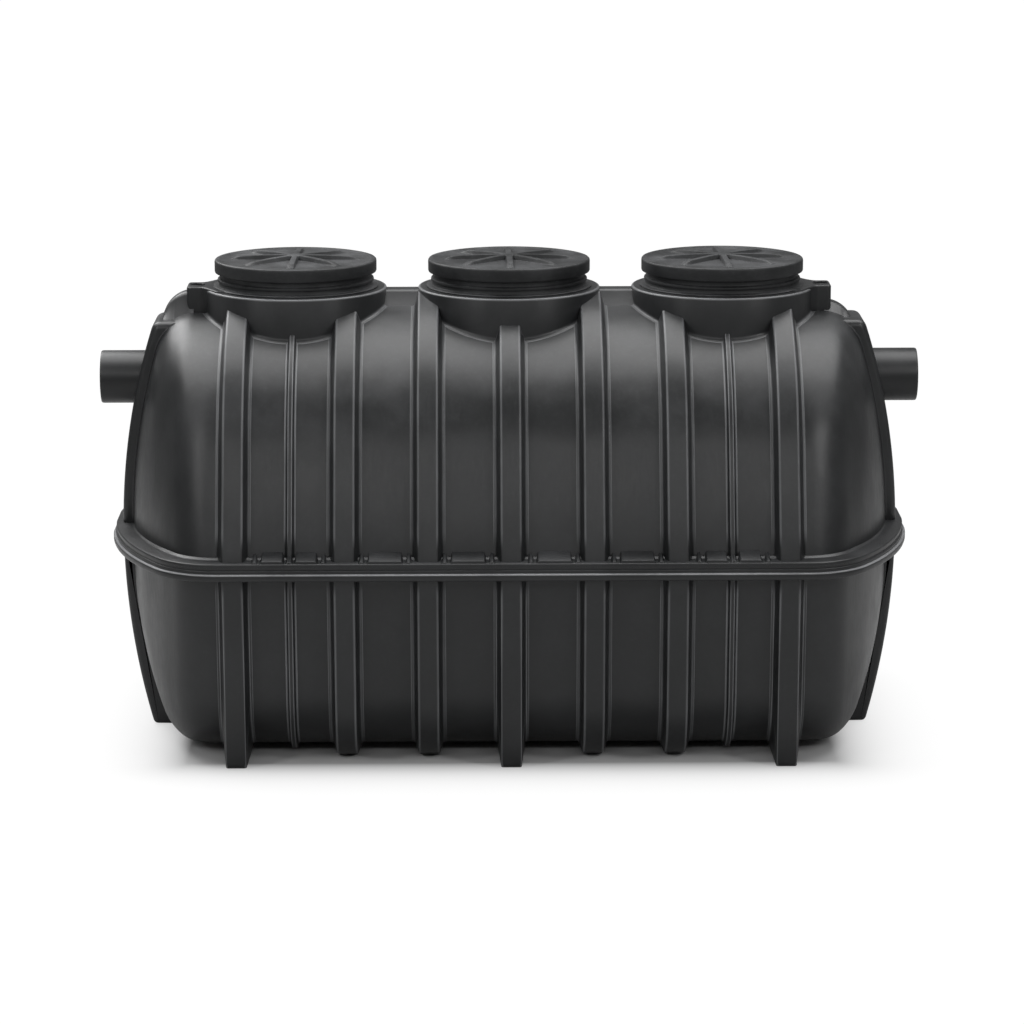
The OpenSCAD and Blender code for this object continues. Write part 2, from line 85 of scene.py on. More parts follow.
def linear(hex_colour: str) -> tuple[float, float, float, float]:
    """Turns an sRGB hex colour into linear RGBA.

    Args:
        hex_colour: A colour such as "#26272a".

    Returns:
        The four linear channels, with alpha 1.
    """
    channels = [int(hex_colour[i : i + 2], 16) / 255 for i in (1, 3, 5)]
    out = [c / 12.92 if c <= 0.04045 else ((c + 0.055) / 1.055) ** 2.4 for c in channels]
    return (out[0], out[1], out[2], 1.0)


class NodeNet:
    """A material's or world's node tree, and the one way of adding to it."""

    def __init__(self, tree: bpy.types.NodeTree) -> None:
        """Takes over a fresh node tree.

        Args:
            tree: The tree, with its default shader.
        """
        self.tree = tree
        self.shader = next(n for n in tree.nodes if n.type in ("BSDF_PRINCIPLED", "BACKGROUND"))

    def feed(self, socket: bpy.types.NodeSocket, source: object) -> None:
        """Links a socket, or sets a plain value on it.

        Args:
            socket: The input to feed.
            source: An output socket, or a number, vector or colour.
        """
        if isinstance(source, bpy.types.NodeSocket):
            self.tree.links.new(source, socket)
        else:
            socket.default_value = source

    def add(self, kind: str, inputs: tuple | dict = (), out: int | str = 0,
            **settings: object) -> bpy.types.NodeSocket:
        """Adds a node with its settings and links.

        Args:
            kind: The node's class name after "ShaderNode".
            inputs: What its inputs get, in order, or by name or number.
            out: The output to hand back.
            **settings: Properties to set on the node.

        Returns:
            The socket of that output.
        """
        node = self.tree.nodes.new(f"ShaderNode{kind}")
        for key, value in settings.items():
            setattr(node, key, value)
        for key, source in inputs.items() if isinstance(inputs, dict) else enumerate(inputs):
            self.feed(node.inputs[key], source)
        return node.outputs[out]


@dataclass(frozen=True)
class Pattern:
    """A cloudy pattern whose features have a real size.

    Attributes:
        size_mm: Size of a feature.
        detail: Octaves of finer detail.
        rough: Strength of each finer octave.
        stretch: Scale on each axis; below 1 draws the features out.
    """

    size_mm: float
    detail: float
    rough: float
    stretch: tuple = (1.0, 1.0, 1.0)


@dataclass(frozen=True)
class Plastic:
    """A black moulded plastic, described by what a process engineer would name.

    Attributes:
        name: Material name, with the real resin and process.
        slot: The record's material slot.
        base: Pigment colour of the clean moulding.
        bloom: Colour of the pale bloom and dust on it.
        bloom_share: How much of the bloom shows where it is strongest.
        roughness: Mean roughness of the skin.
        rough_spread: How far the roughness wanders to either side.
        grain_mm: Size of the skin texture, drawn as coarse as it needs to show.
        grain_height_mm: Depth of that texture.
        wave_mm: Length of the slow cooling waves in the wall.
        wave_height_mm: Depth of those waves.
        scratch_height_mm: Depth of the handling scratches.
        specular: Strength of the skin's reflection; 0.5 is a polished skin.
        ior: Index of refraction, typical of a polyolefin.
        bow_mm: How far the walls bow between their stiff edges.
        bow_z: Lowest and highest height of that bow, in metres.
        lip_highlight_z_mm: Height of a painted highlight along the flange's lip; 0 for none.
        lip_highlight_w_mm: Width of that painted highlight, a paler band for the lip's bright line.
        trim: Colour of that painted highlight.
        burnish: Colour of the painted highlight on tight edges and coves; None for none.
        joint_z: Height in metres of the angle at the joint, where the painted edge highlight is left out.
        joint_reach: Distances from there, in metres, where the painted edge highlight starts and is whole.
    """

    name: str
    slot: str
    base: str
    bloom: str
    bloom_share: float
    roughness: float
    rough_spread: float
    grain_mm: float
    grain_height_mm: float
    wave_mm: float
    wave_height_mm: float
    scratch_height_mm: float
    specular: float
    ior: float = 1.5
    bow_mm: float = 0.0
    bow_z: tuple = (0.415, 0.62)
    lip_highlight_z_mm: float = 0.0
    lip_highlight_w_mm: float = 3.0
    trim: str = "#8e8f91"
    burnish: str | None = None
    joint_z: float = 0.425
    joint_reach: tuple = (0.03, 0.065)

    @property
    def patterns(self) -> dict[str, Pattern]:
        """The patterns of the skin.

        Returns:
            The clouds and specks of the dust, the grain, the cooling waves and the scratches, by name.
        """
        return {"cloud": Pattern(140.0, detail=5.0, rough=0.6),
                "speck": Pattern(9.0, detail=6.0, rough=0.7),
                "grain": Pattern(self.grain_mm, detail=2.0, rough=0.5),
                "wave": Pattern(self.wave_mm, detail=1.5, rough=0.4, stretch=(1.0, 1.0, 0.45)),
                "scratch": Pattern(2.6, detail=3.0, rough=0.6, stretch=(1.0, 0.12, 0.09))}

    def build(self) -> bpy.types.Material:
        """Builds the node material.

        Returns:
            The new material.
        """
        material = bpy.data.materials.new(self.name)
        material.use_nodes = True
        net = NodeNet(material.node_tree)
        position = net.add("NewGeometry", out="Position")
        height = net.add("SeparateXYZ", (position,), out="Z")
        signals = {}
        for name, pattern in self.patterns.items():
            spot = net.add("VectorMath", (position, pattern.stretch), operation="MULTIPLY")
            signals[name] = net.add("TexNoise", {"Vector": spot, "Scale": 1.0 / (pattern.size_mm * MM),
                                                 "Detail": pattern.detail, "Roughness": pattern.rough})
        scratches = net.add("Math", (signals["scratch"], 0.4), operation="MULTIPLY")
        wander = net.add("Math", (signals["cloud"], 0.6, scratches), operation="MULTIPLY_ADD")
        low, high = self.roughness - self.rough_spread, self.roughness + self.rough_spread
        skin = {"Base Color": self._colour(net, height, signals),
                "Roughness": net.add("MapRange", (wander, 0.3, 0.7, low, high), **SMOOTH),
                "Normal": self._relief(net, height, signals),
                "IOR": self.ior,
                "Specular IOR Level": self.specular}
        for name, source in skin.items():
            net.feed(net.shader.inputs[name], source)
        return material

    def _colour(self, net: NodeNet, height: bpy.types.NodeSocket, signals: dict) -> bpy.types.NodeSocket:
        """Lays bloom, the painted edge highlight and the painted lip highlight over the pigment.

        Args:
            net: The material's tree.
            height: Height above the ground in metres.
            signals: The patterns' sockets by name.

        Returns:
            The colour's socket.
        """
        cloud = signals["cloud"]
        # Bloom gathers in clouds and on what faces up, as dust does
        facing = net.add("SeparateXYZ", (net.add("NewGeometry", out="Normal"),), out="Z")
        up = net.add("MapRange", (facing, 0.05, 0.95, 0.35, 1.0), **SMOOTH)
        patch = net.add("MapRange", (cloud, 0.38, 0.72, 0.0, 0.7), **SMOOTH)
        dust = net.add("MapRange", (signals["speck"], 0.46, 0.74, 0.0, 0.3), **SMOOTH)
        marks = net.add("Math", (patch, dust), operation="ADD")
        marks = net.add("Math", (marks, self.bloom_share), operation="MULTIPLY")
        layers = [(net.add("Math", (up, marks), operation="MULTIPLY"), self.bloom)]
        # A lighter colour on tight edges and coves is a painted highlight, left out near the joint
        if self.burnish:
            edge_highlight_mask = net.add("Attribute", out="Fac", attribute_name=EDGE_HIGHLIGHT_ATTRIBUTE)
            uneven = net.add("MapRange", (cloud, 0.3, 0.7, 0.6, 1.0), **SMOOTH)
            away = net.add("Math", (height, self.joint_z), operation="SUBTRACT")
            away = net.add("Math", (away,), operation="ABSOLUTE")
            clear = net.add("MapRange", (away, *self.joint_reach, 0.0, 1.0), **SMOOTH)
            share = net.add("Math", (edge_highlight_mask, uneven), operation="MULTIPLY")
            layers.append((net.add("Math", (share, clear), operation="MULTIPLY"), self.burnish))
        # A paler band along the flange's lip is a painted highlight for its bright line
        if self.lip_highlight_z_mm:
            width = self.lip_highlight_w_mm * MM
            off = net.add("Math", (height, self.lip_highlight_z_mm * MM), operation="SUBTRACT")
            off = net.add("Math", (off,), operation="ABSOLUTE")
            cut = net.add("MapRange", (off, 0.35 * width, 0.65 * width, 1.0, 0.0), **SMOOTH)
            uneven = net.add("MapRange", (cloud, 0.3, 0.65, 0.55, 1.0), **SMOOTH)
            layers.append((net.add("Math", (cut, uneven), operation="MULTIPLY"), self.trim))
        skin = linear(self.base)
        for share, colour in layers:
            skin = net.add("Mix", {MIX_FACTOR: share, MIX_A: skin, MIX_B: linear(colour)}, out=MIX_RESULT,
                           data_type="RGBA")
        return skin

    def _relief(self, net: NodeNet, height: bpy.types.NodeSocket, signals: dict) -> bpy.types.NodeSocket:
        """Adds the bow, waves, grain and scratches to the normal.

        Args:
            net: The material's tree.
            height: Height above the ground in metres.
            signals: The patterns' sockets by name.

        Returns:
            The normal's socket.
        """
        # The upper walls bow out a little above the joint
        fall = net.add("MapRange", (height, *self.bow_z, 1.0, 0.0))
        square = net.add("Math", (fall, fall), operation="MULTIPLY")
        bow = net.add("Math", (1.0, square), operation="SUBTRACT")
        normal = None
        for signal, depth_mm in ((bow, self.bow_mm), (signals["wave"], self.wave_height_mm),
                                 (signals["grain"], self.grain_height_mm),
                                 (signals["scratch"], self.scratch_height_mm)):
            if depth_mm == 0.0:
                continue
            inputs = {"Strength": 1.0, "Distance": depth_mm * MM, "Height": signal}
            if normal is not None:
                inputs["Normal"] = normal
            normal = net.add("Bump", inputs)
        return normal


# Rotationally moulded polyethylene: satin, with slow cooling waves and a pale bloom on top
# Its lighter edge colour is a painted highlight for the bright lines on tight edges and coves
SHELL = Plastic(name="polyethylene_rotomoulded_black", slot="shell_plastic", base="#1f2021",
                bloom="#4c4d4f", bloom_share=0.45, roughness=0.39, rough_spread=0.06, grain_mm=1.6,
                grain_height_mm=0.035, wave_mm=120.0, wave_height_mm=4.5, scratch_height_mm=0.02,
                specular=0.5, bow_mm=14.0, burnish="#747577")
# The same moulding with a painted highlight, a paler band for the bright line along the flange's lip
LIP_HIGHLIGHTED_SHELL = replace(SHELL, name="polyethylene_rotomoulded_trimmed", lip_highlight_z_mm=414.0)
# Injection-moulded polypropylene of the lids and necks: finer grain, greyer
LID = Plastic(name="polypropylene_injection_black", slot="lid_plastic", base="#1b1c1d", bloom="#626365",
              bloom_share=0.65, roughness=0.5, rough_spread=0.05, grain_mm=0.9, grain_height_mm=0.02,
              wave_mm=90.0, wave_height_mm=0.3, scratch_height_mm=0.02, specular=0.35)
# Extruded drain pipe: smooth, with faint draw lines
PIPE = Plastic(name="polypropylene_extruded_pipe", slot="pipe_plastic", base="#1a1b1c", bloom="#434446",
               bloom_share=0.4, roughness=0.4, rough_spread=0.04, grain_mm=1.2, grain_height_mm=0.01,
               wave_mm=70.0, wave_height_mm=0.15, scratch_height_mm=0.03, specular=0.45)


# ---------------------------------------------------------------- meshes


def bezier(p0: np.ndarray, p1: np.ndarray, p2: np.ndarray, count: int) -> list[np.ndarray]:
    """Points of a quadratic curve, both ends included.

    Args:
        p0: Start.
        p1: Control point, the sharp corner that the curve rounds off.
        p2: End.
        count: Number of points.

    Returns:
        The points.
    """
    p0, p1, p2 = np.asarray(p0), np.asarray(p1), np.asarray(p2)
    return [(1 - t) ** 2 * p0 + 2 * t * (1 - t) * p1 + t * t * p2 for t in np.linspace(0, 1, count)]


def circle(r: float, x: float, steps: int) -> np.ndarray:
    """A circle in plan about a place on the tank's middle line.

    Args:
        r: Radius.
        x: Place of its centre.
        steps: Number of points.

    Returns:
        Points as (x, y).
    """
    turns = np.linspace(0, TURN, steps, endpoint=False)
    return np.array([(x + r * math.cos(t), r * math.sin(t)) for t in turns])


def at_x(x: float, outline: np.ndarray) -> np.ndarray:
    """Places an outline of (y, z) across the tank at x."""
    return np.column_stack([np.full(len(outline), x), outline])


def at_z(outline: np.ndarray, z: float) -> np.ndarray:
    """Places an outline of (x, y) level at z."""
    return np.column_stack([outline, np.full(len(outline), z)])


def inwards(outline: np.ndarray, along: np.ndarray, middle: np.ndarray) -> np.ndarray:
    """Unit vectors across an outline, on the side of its middle.

    Args:
        outline: Points of the outline.
        along: Direction of the outline at each point.
        middle: A point on the side that they face.

    Returns:
        One vector for each point.
    """
    across = np.column_stack([-along[:, 1], along[:, 0]])
    across /= np.linalg.norm(across, axis=1)[:, None]
    return -across if across[1] @ (middle - outline[1]) < 0 else across


@dataclass
class Surface:
    """Vertices in millimetres and the faces on them."""

    points: list = field(default_factory=list)
    faces: list = field(default_factory=list)

    def grid(self, rows: list | np.ndarray, close_rows: bool = False, cap: bool = False) -> None:
        """Adds a grid of quads whose columns close on themselves.

        Args:
            rows: Array of rows x columns x 3.
            close_rows: Join the last row to the first.
            cap: Close the first and last row with one face each.
        """
        rows = np.array(rows)
        n, m = rows.shape[:2]
        base = len(self.points)
        self.points.extend(map(tuple, rows.reshape(-1, 3)))
        for i in range(n if close_rows else n - 1):
            low, high = base + i * m, base + (i + 1) % n * m
            for j in range(m):
                k = (j + 1) % m
                self.faces.append((low + j, low + k, high + k, high + j))
        if cap:
            self.faces += [tuple(first + j for j in range(m)) for first in (base, base + (n - 1) * m)]

    def ring(self, rows: list | np.ndarray) -> "Surface":
        """Adds rows that close into a ring, with no ends, and gives the surface back."""
        self.grid(rows, close_rows=True)
        return self

    def solid(self, rows: list | np.ndarray) -> "Surface":
        """Adds rows with a face on the first and on the last, and gives the surface back."""
        self.grid(rows, cap=True)
        return self


def upright(outline: np.ndarray, span: tuple[float, float]) -> Surface:
    """A vertical prism.

    Args:
        outline: Its plan, as (x, y).
        span: Lower and upper height.

    Returns:
        The closed surface.
    """
    return Surface().solid([at_z(outline, z) for z in span])


def lying(r: float, z: float, span: tuple[float, float], steps: int = 96) -> Surface:
    """A cylinder along X over the tank's middle plane.

    Args:
        r: Radius.
        z: Height of its axis.
        span: X of both ends.
        steps: Sides.

    Returns:
        The closed surface.
    """
    turns = np.linspace(0, TURN, steps, endpoint=False)
    outline = np.array([(r * math.cos(t), z + r * math.sin(t)) for t in turns])
    return Surface().solid([at_x(x, outline) for x in span])


@dataclass(frozen=True)
class Piece:
    """What a piece stands for, wears and how its edges are.

    Attributes:
        node: The frame's node that it replaces.
        finish: Its plastic.
        made_as: The last word of its name.
        crease: Edges sharper than this angle stay sharp, in degrees.
        bevel_mm: Width of the rounding on its sharp edges, 0 for none.
        overlaps: True where its solids run into each other and are cut.
        paints_edge_highlight: True where its tight edges and coves get the painted highlight.
    """

    node: str
    finish: Plastic = SHELL
    made_as: str = "moulding"
    crease: float = 35.0
    bevel_mm: float = 0.0
    overlaps: bool = False
    paints_edge_highlight: bool = True

    @property
    def name(self) -> str:
        """The piece's own name."""
        return f"{self.node.removesuffix('_end')}_{self.made_as}"

    @property
    def slot(self) -> str:
        """The record's material slot of its plastic."""
        return self.finish.slot


@dataclass
class Workshop:
    """Turns surfaces into finished pieces that ride on the frame."""

    weld_m: float = 1e-6
    bevel_steps: int = 3
    bevel_angle: float = 28.0
    # Skin that bends tighter than these radii gets part, then all, of the painted edge highlight
    burnish_from_mm: float = 11.0
    burnish_full_mm: float = 4.5
    burnish_angle: float = 5.0
    made: list[bpy.types.Object] = field(default_factory=list)
    tools: list[bpy.types.Object] = field(default_factory=list)
    materials: dict[str, bpy.types.Material] = field(default_factory=dict)

    def cutter(self, surface: Surface) -> bpy.types.Object:
        """Makes a bare object that only cuts others.

        Args:
            surface: Its closed surface.

        Returns:
            The object.
        """
        tool = self._object("cutter", surface)
        self.tools.append(tool)
        return tool

    def put_away(self) -> None:
        """Removes every cutter."""
        for tool in self.tools:
            bpy.data.objects.remove(tool)

    def make(self, piece: Piece, surface: Surface, cutters: tuple = ()) -> None:
        """Makes a piece, carves and rounds it, dresses it and ties it to the frame.

        Args:
            piece: What it is.
            surface: Its closed surface.
            cutters: Objects to cut away from it.
        """
        made = self._object(piece.name, surface)
        for tool in cutters:
            cut = made.modifiers.new("cut", "BOOLEAN")
            cut.operation, cut.object, cut.solver = "DIFFERENCE", tool, "EXACT"
            cut.use_self = piece.overlaps
        if piece.bevel_mm:
            bevel = made.modifiers.new("round", "BEVEL")
            bevel.width, bevel.segments = piece.bevel_mm * MM, self.bevel_steps
            bevel.limit_method, bevel.angle_limit = "ANGLE", math.radians(self.bevel_angle)
        if made.modifiers:
            self._settle(made)
        mesh = made.data
        mesh.materials.clear()
        mesh.materials.append(self._material(piece.finish))
        mesh.polygons.foreach_set("use_smooth", [True] * len(mesh.polygons))
        mesh.set_sharp_from_angle(angle=math.radians(piece.crease))
        if piece.paints_edge_highlight:
            self._mark_edge_highlight(mesh)
        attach(made, "root")
        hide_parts(piece.node)
        piece.slot
        self.made.append(made)

    def _material(self, finish: Plastic) -> bpy.types.Material:
        """The finish's material, built once.

        Args:
            finish: The plastic.

        Returns:
            Its material.
        """
        if finish.name not in self.materials:
            self.materials[finish.name] = finish.build()
        return self.materials[finish.name]

    @staticmethod
    def _settle(made: bpy.types.Object) -> None:
        """Puts what its modifiers give in place of an object's mesh.

        Args:
            made: The object.
        """
        graph = bpy.context.evaluated_depsgraph_get()
        mesh = bpy.data.meshes.new_from_object(made.evaluated_get(graph), depsgraph=graph)
        made.modifiers.clear()
        old, made.data = made.data, mesh
        bpy.data.meshes.remove(old)
        mesh.name = made.name

    def _mark_edge_highlight(self, mesh: bpy.types.Mesh) -> None:
        """Writes onto each vertex how tightly the skin turns there, for the painted edge highlight.

        Args:
            mesh: The finished mesh.
        """
        work = bmesh.new()
        work.from_mesh(mesh)
        bend = np.zeros(len(work.verts))
        for edge in work.edges:
            if len(edge.link_faces) != 2:
                continue
            one, two = edge.link_faces
            angle = one.normal.angle(two.normal, 0.0)
            if angle < math.radians(self.burnish_angle):
                continue
            width = 0.5 * (one.calc_area() + two.calc_area()) / max(edge.calc_length(), 1e-9)
            for vert in edge.verts:
                bend[vert.index] = max(bend[vert.index], angle / max(width, 1e-6))
        work.free()
        wide, tight = 1 / (self.burnish_from_mm * MM), 1 / (self.burnish_full_mm * MM)
        layer = mesh.attributes.new(EDGE_HIGHLIGHT_ATTRIBUTE, "FLOAT", "POINT")
        layer.data.foreach_set("value", np.clip((bend - wide) / (tight - wide), 0, 1))

    def _object(self, name: str, surface: Surface) -> bpy.types.Object:
        """Makes an object in metres with its faces turned outwards.

        Args:
            name: Its name.
            surface: Its surface in millimetres.

        Returns:
            The object.
        """
        mesh = bpy.data.meshes.new(name)
        mesh.from_pydata([(x * MM, y * MM, z * MM) for x, y, z in surface.points], [], surface.faces)
        work = bmesh.new()
        work.from_mesh(mesh)
        bmesh.ops.remove_doubles(work, verts=work.verts, dist=self.weld_m)
        bmesh.ops.recalc_face_normals(work, faces=work.faces)
        work.to_mesh(mesh)
        work.free()
        made = bpy.data.objects.new(name, mesh)
        bpy.context.scene.collection.objects.link(made)
        return made


# ---------------------------------------------------------------- the body's form


@dataclass(frozen=True)
class BodyForm:
    """Sizes of the body in millimetres, and the outlines and surfaces they give."""

    parting_z: float = 415.0
    upper_height: float = 473.0
    half_width: float = 430.0
    crown_r: float = 370.0
    underside_z: float = 16.0
    tub_corner_r: float = 150.0
    tub_draft: float = 5.2
    wall: float = 7.0
    barrel_half: float = 586.5
    end_len: float = 202.5
    plan_corner_r: float = 110.0
    end_side_r: float = 1383.0
    keel_side_r: float = 870.0
    end_step: float = 14.0
    crown_corner_r: float = 80.0
    keel_corner_r: float = 85.0
    tip_angle: float = 84.0
    flange_end_trim: float = 5.0
    flange_trim_from: float = 10.0
    lower_flange_t: float = 15.0
    upper_flange_t: float = 20.0
    turret_x: float = 443.0
    collar_r: float = 189.0
    collar_rise: float = 34.0
    pipe_drop: float = 156.0
    pipe_hole_r: float = 54.3
    end_rib_drop: float = 30.0
    lug_reach: float = 225.0
    # How finely the outlines and rings are drawn
    arc_steps: int = 72
    side_steps: int = 14
    corner_steps: int = 20
    floor_steps: int = 16
    ring_steps: int = 56
    plan_steps: int = 40

    @property
    def crown_z(self) -> float:
        """Height of the crown."""
        return self.parting_z + self.upper_height

    @property
    def flange_top_z(self) -> float:
        """Height of the upper flange's top face."""
        return self.parting_z + self.upper_flange_t

    @property
    def flange_under_z(self) -> float:
        """Height of the lower flange's underside."""
        return self.parting_z - self.lower_flange_t

    @property
    def collar_z(self) -> float:
        """Height of the collars' ring faces."""
        return self.crown_z + self.collar_rise

    @property
    def pipe_z(self) -> float:
        """Height of the pipes' axis."""
        return self.crown_z - self.pipe_drop

    @property
    def end_rib_top_z(self) -> float:
        """Height of the end ribs' flat tops."""
        return self.crown_z - self.end_rib_drop

    @property
    def turret_xs(self) -> tuple[float, float, float]:
        """X of the three turrets."""
        return (-self.turret_x, 0.0, self.turret_x)

    @property
    def end_x(self) -> float:
        """Reach of the end wall."""
        return self.barrel_half + self.end_len

    @property
    def crown_centre_z(self) -> float:
        """Height of the centre of the crown's arc."""
        return self.crown_z - self.crown_r

    @property
    def side_angle(self) -> float:
        """Angle in radians at which the crown's arc runs into the straight side."""
        wide, drop = self.half_width, self.parting_z - self.crown_centre_z
        return math.atan2(drop, wide) + math.acos(self.crown_r / math.hypot(wide, drop))

    @property
    def end_crown_h(self) -> float:
        """Height of a domed end's crown above the joint plane."""
        return self.crown_z - self.parting_z - self.end_step

    @property
    def end_plan_r(self) -> float:
        """Radius of the end wall in plan."""
        inner, corner = self.half_width - self.plan_corner_r, self.plan_corner_r
        return (self.end_len**2 - corner**2 + inner**2) / (2 * (self.end_len - corner))

    def vault(self, inset: float, z0: float) -> np.ndarray:
        """Outline of the upper half across the tank, from the +Y side to the -Y side.

        Args:
            inset: How far inside the skin.
            z0: Height at which the outline starts and ends.

        Returns:
            Points as (y, z).
        """
        r, a = self.crown_r - inset, self.side_angle
        y0 = (r - (z0 - self.crown_centre_z) * math.sin(a)) / math.cos(a)
        arc = [(r * math.cos(t), self.crown_centre_z + r * math.sin(t))
               for t in np.linspace(a, math.pi - a, self.arc_steps + 1)]
        up = [((1 - t) * y0 + t * arc[0][0], (1 - t) * z0 + t * arc[0][1])
              for t in np.linspace(0, 1, self.side_steps, endpoint=False)]
        return np.array(up + arc + [(-y, z) for y, z in reversed(up)])

    def tub(self, inset: float, z0: float, half: float | None = None, draft: float | None = None,
            low: float | None = None, r: float | None = None) -> np.ndarray:
        """Outline of the lower half across the tank, from the +Y side, under it, to the -Y side.

        Args:
            inset: How far inside the skin.
            z0: Height at which the outline starts and ends.
            half: Half width at the joint plane; the body's own by default.
            draft: Slope of the sides, in degrees; the body's own by default.
            low: Height of the underside; the body's own by default.
            r: Corner radius; the body's own by default.

        Returns:
            Points as (y, z).
        """
        half = self.half_width if half is None else half
        slope = math.radians(self.tub_draft if draft is None else draft)
        low = self.underside_z if low is None else low
        r = self.tub_corner_r if r is None else r
        zc = low + r
        yc = half + ((zc - self.parting_z) * math.sin(slope) - r) / math.cos(slope)
        y0 = half + ((z0 - self.parting_z) * math.sin(slope) - inset) / math.cos(slope)
        arc = [(yc + (r - inset) * math.cos(t), zc + (r - inset) * math.sin(t))
               for t in np.linspace(-slope, -math.pi / 2, self.corner_steps + 1)]
        down = [((1 - t) * y0 + t * arc[0][0], (1 - t) * z0 + t * arc[0][1])
                for t in np.linspace(0, 1, self.side_steps, endpoint=False)]
        side = down + arc
        floor = [(y, arc[-1][1]) for y in np.linspace(arc[-1][0], -arc[-1][0], self.floor_steps + 1)[1:-1]]
        return np.array(side + floor + [(-y, z) for y, z in reversed(side)])

    def end_extent(self, x: float, span: float, r: float, big_r: float, inset: float) -> float:
        """Half extent of a domed end at distance x from the middle.

        Args:
            x: Distance along the tank.
            span: Half extent at the barrel.
            r: Corner radius.
            big_r: Radius of the end wall.
            inset: How far inside the skin.

        Returns:
            The half extent.
        """
        xc = self.end_x - big_r
        xf = xc + math.sqrt((big_r - r) ** 2 - (span - r) ** 2)
        xt = xc + (xf - xc) * (big_r - inset) / (big_r - r)
        if x <= xf:
            return span - inset
        if x <= xt:
            return span - r + math.sqrt(max(0.0, (r - inset) ** 2 - (x - xf) ** 2))
        return math.sqrt(max(0.0, (big_r - inset) ** 2 - (x - xc) ** 2))

    def plan_extent(self, x: float, inset: float) -> float:
        """Half width of a domed end at the joint plane, at distance x from the middle."""
        return self.end_extent(x, self.half_width, self.plan_corner_r, self.end_plan_r, inset)

    def end_factors(self, x: float, inset: float, half: Half) -> tuple[float, float]:
        """Scales of a domed end's outline in Y and Z at distance x.

        Args:
            x: Distance along the tank.
            inset: How far inside the skin.
            half: Which half-shell.

        Returns:
            The two factors.
        """
        if half is Half.UPPER:
            span, corner, side_r = self.end_crown_h, self.crown_corner_r, self.end_side_r
        else:
            span, corner, side_r = self.parting_z - self.underside_z, self.keel_corner_r, self.keel_side_r
        ky = self.plan_extent(x, inset) / (self.half_width - inset)
        return ky, self.end_extent(x, span, corner, side_r, inset) / (span - inset)

    def lowered(self, line: np.ndarray, inset: float = 0.0) -> np.ndarray:
        """Brings an outline of the vault down to a domed end's lower crown.

        Args:
            line: The outline, as (y, z).
            inset: How far inside the skin it runs.

        Returns:
            The lowered outline.
        """
        k = (self.end_crown_h - inset) / (self.crown_z - self.parting_z - inset)
        return np.column_stack([line[:, 0], self.parting_z + (line[:, 1] - self.parting_z) * k])

    def outline(self, inset: float, half: Half) -> np.ndarray:
        """Outline of a half's barrel from the joint plane, as (y, z)."""
        return (self.vault if half is Half.UPPER else self.tub)(inset, self.parting_z)

    def end_outline(self, inset: float, half: Half) -> np.ndarray:
        """Outline of a domed end where it meets the barrel, as (y, z)."""
        line = self.outline(inset, half)
        return self.lowered(line, inset) if half is Half.UPPER else line

    def ring_x(self, t: float, inset: float) -> float:
        """X of the ring at share t of the end, with the rings crowding towards the end wall."""
        return self.barrel_half + (self.end_len - inset) * math.sin(math.radians(self.tip_angle) * t)

    def end_rows(self, inset: float, half: Half, side: End) -> np.ndarray:
        """Rings of a domed end, from the barrel outwards.

        Args:
            inset: How far inside the skin.
            half: Which half-shell.
            side: Which end.

        Returns:
            Array of rings x points x 3.
        """
        line = self.end_outline(inset, half)
        rows = []
        for t in np.linspace(0, 1, self.ring_steps + 1):
            x = self.ring_x(t, inset)
            ky, kz = self.end_factors(x, inset, half)
            rise = self.parting_z + (line[:, 1] - self.parting_z) * kz
            rows.append(at_x(side.value * x, np.column_stack([line[:, 0] * ky, rise])))
        return np.array(rows)

    def end_skin_x(self, y: float, z: float) -> float:
        """Reach of a domed end's skin at a place across and above.

        Args:
            y: Across the tank.
            z: Height.

        Returns:
            The distance along the tank.
        """
        half = Half.UPPER if z >= self.parting_z else Half.LOWER
        line = self.end_outline(0.0, half)
        line = line[line[:, 0] >= -1e-6]
        line = line[np.argsort(line[:, 0])]
        low, high = self.barrel_half, self.end_x
        # Halving the stretch 32 times places the skin far finer than a micrometre
        for _ in range(32):
            mid = (low + high) / 2
            ky, kz = self.end_factors(mid, 0.0, half)
            across = abs(y) / max(ky, 1e-6)
            rise = self.parting_z + (z - self.parting_z) / max(kz, 1e-6)
            edge = np.interp(across, line[:, 0], line[:, 1])
            within = rise <= edge if half is Half.UPPER else rise >= edge
            low, high = (mid, high) if across < self.half_width and within else (low, mid)
        return low

    def top_z(self, x: float, y: float) -> float:
        """Height of the upper skin over a point of the plan.

        Args:
            x: Along the tank.
            y: Across it.

        Returns:
            The height.
        """
        x, y = abs(x), abs(y)
        rise = 1.0
        if x > self.barrel_half:
            # Just short of the very end, where the outline shrinks to nothing
            ky, kz = self.end_factors(min(x, self.end_x - 0.5), 0.0, Half.UPPER)
            y, rise = y / ky, kz * self.end_crown_h / (self.crown_z - self.parting_z)
        r, a = self.crown_r, self.side_angle
        if y <= r * math.cos(a):
            z = self.crown_centre_z + math.sqrt(r * r - y * y)
        else:
            z = self.crown_centre_z + (r - y * math.cos(a)) / math.sin(a)
        return self.parting_z + (z - self.parting_z) * rise

    def plan(self, out: float) -> np.ndarray:
        """Plan of the body at the joint plane, grown outwards, as a closed loop.

        Args:
            out: How far outside the skin.

        Returns:
            Points as (x, y).
        """
        reached = max(0.0, min(1.0, out / self.flange_trim_from))
        trim = 1.0 - reached * self.flange_end_trim / (self.end_len + out)
        quarter = []
        for t in np.linspace(0, 1, self.plan_steps + 1):
            x = self.ring_x(t, -out)
            quarter.append((self.barrel_half + (x - self.barrel_half) * trim, self.plan_extent(x, -out)))
        stations = np.linspace(-self.barrel_half, self.barrel_half, self.plan_steps + 2)[1:-1]
        side = [(x, quarter[0][1]) for x in stations]
        right = quarter + [(x, -y) for x, y in reversed(quarter)]
        left = [(-x, -y) for x, y in quarter] + [(-x, y) for x, y in reversed(quarter)]
        return np.array(right + [(-x, -y) for x, y in side] + left + side)


# ---------------------------------------------------------------- sub-assemblies


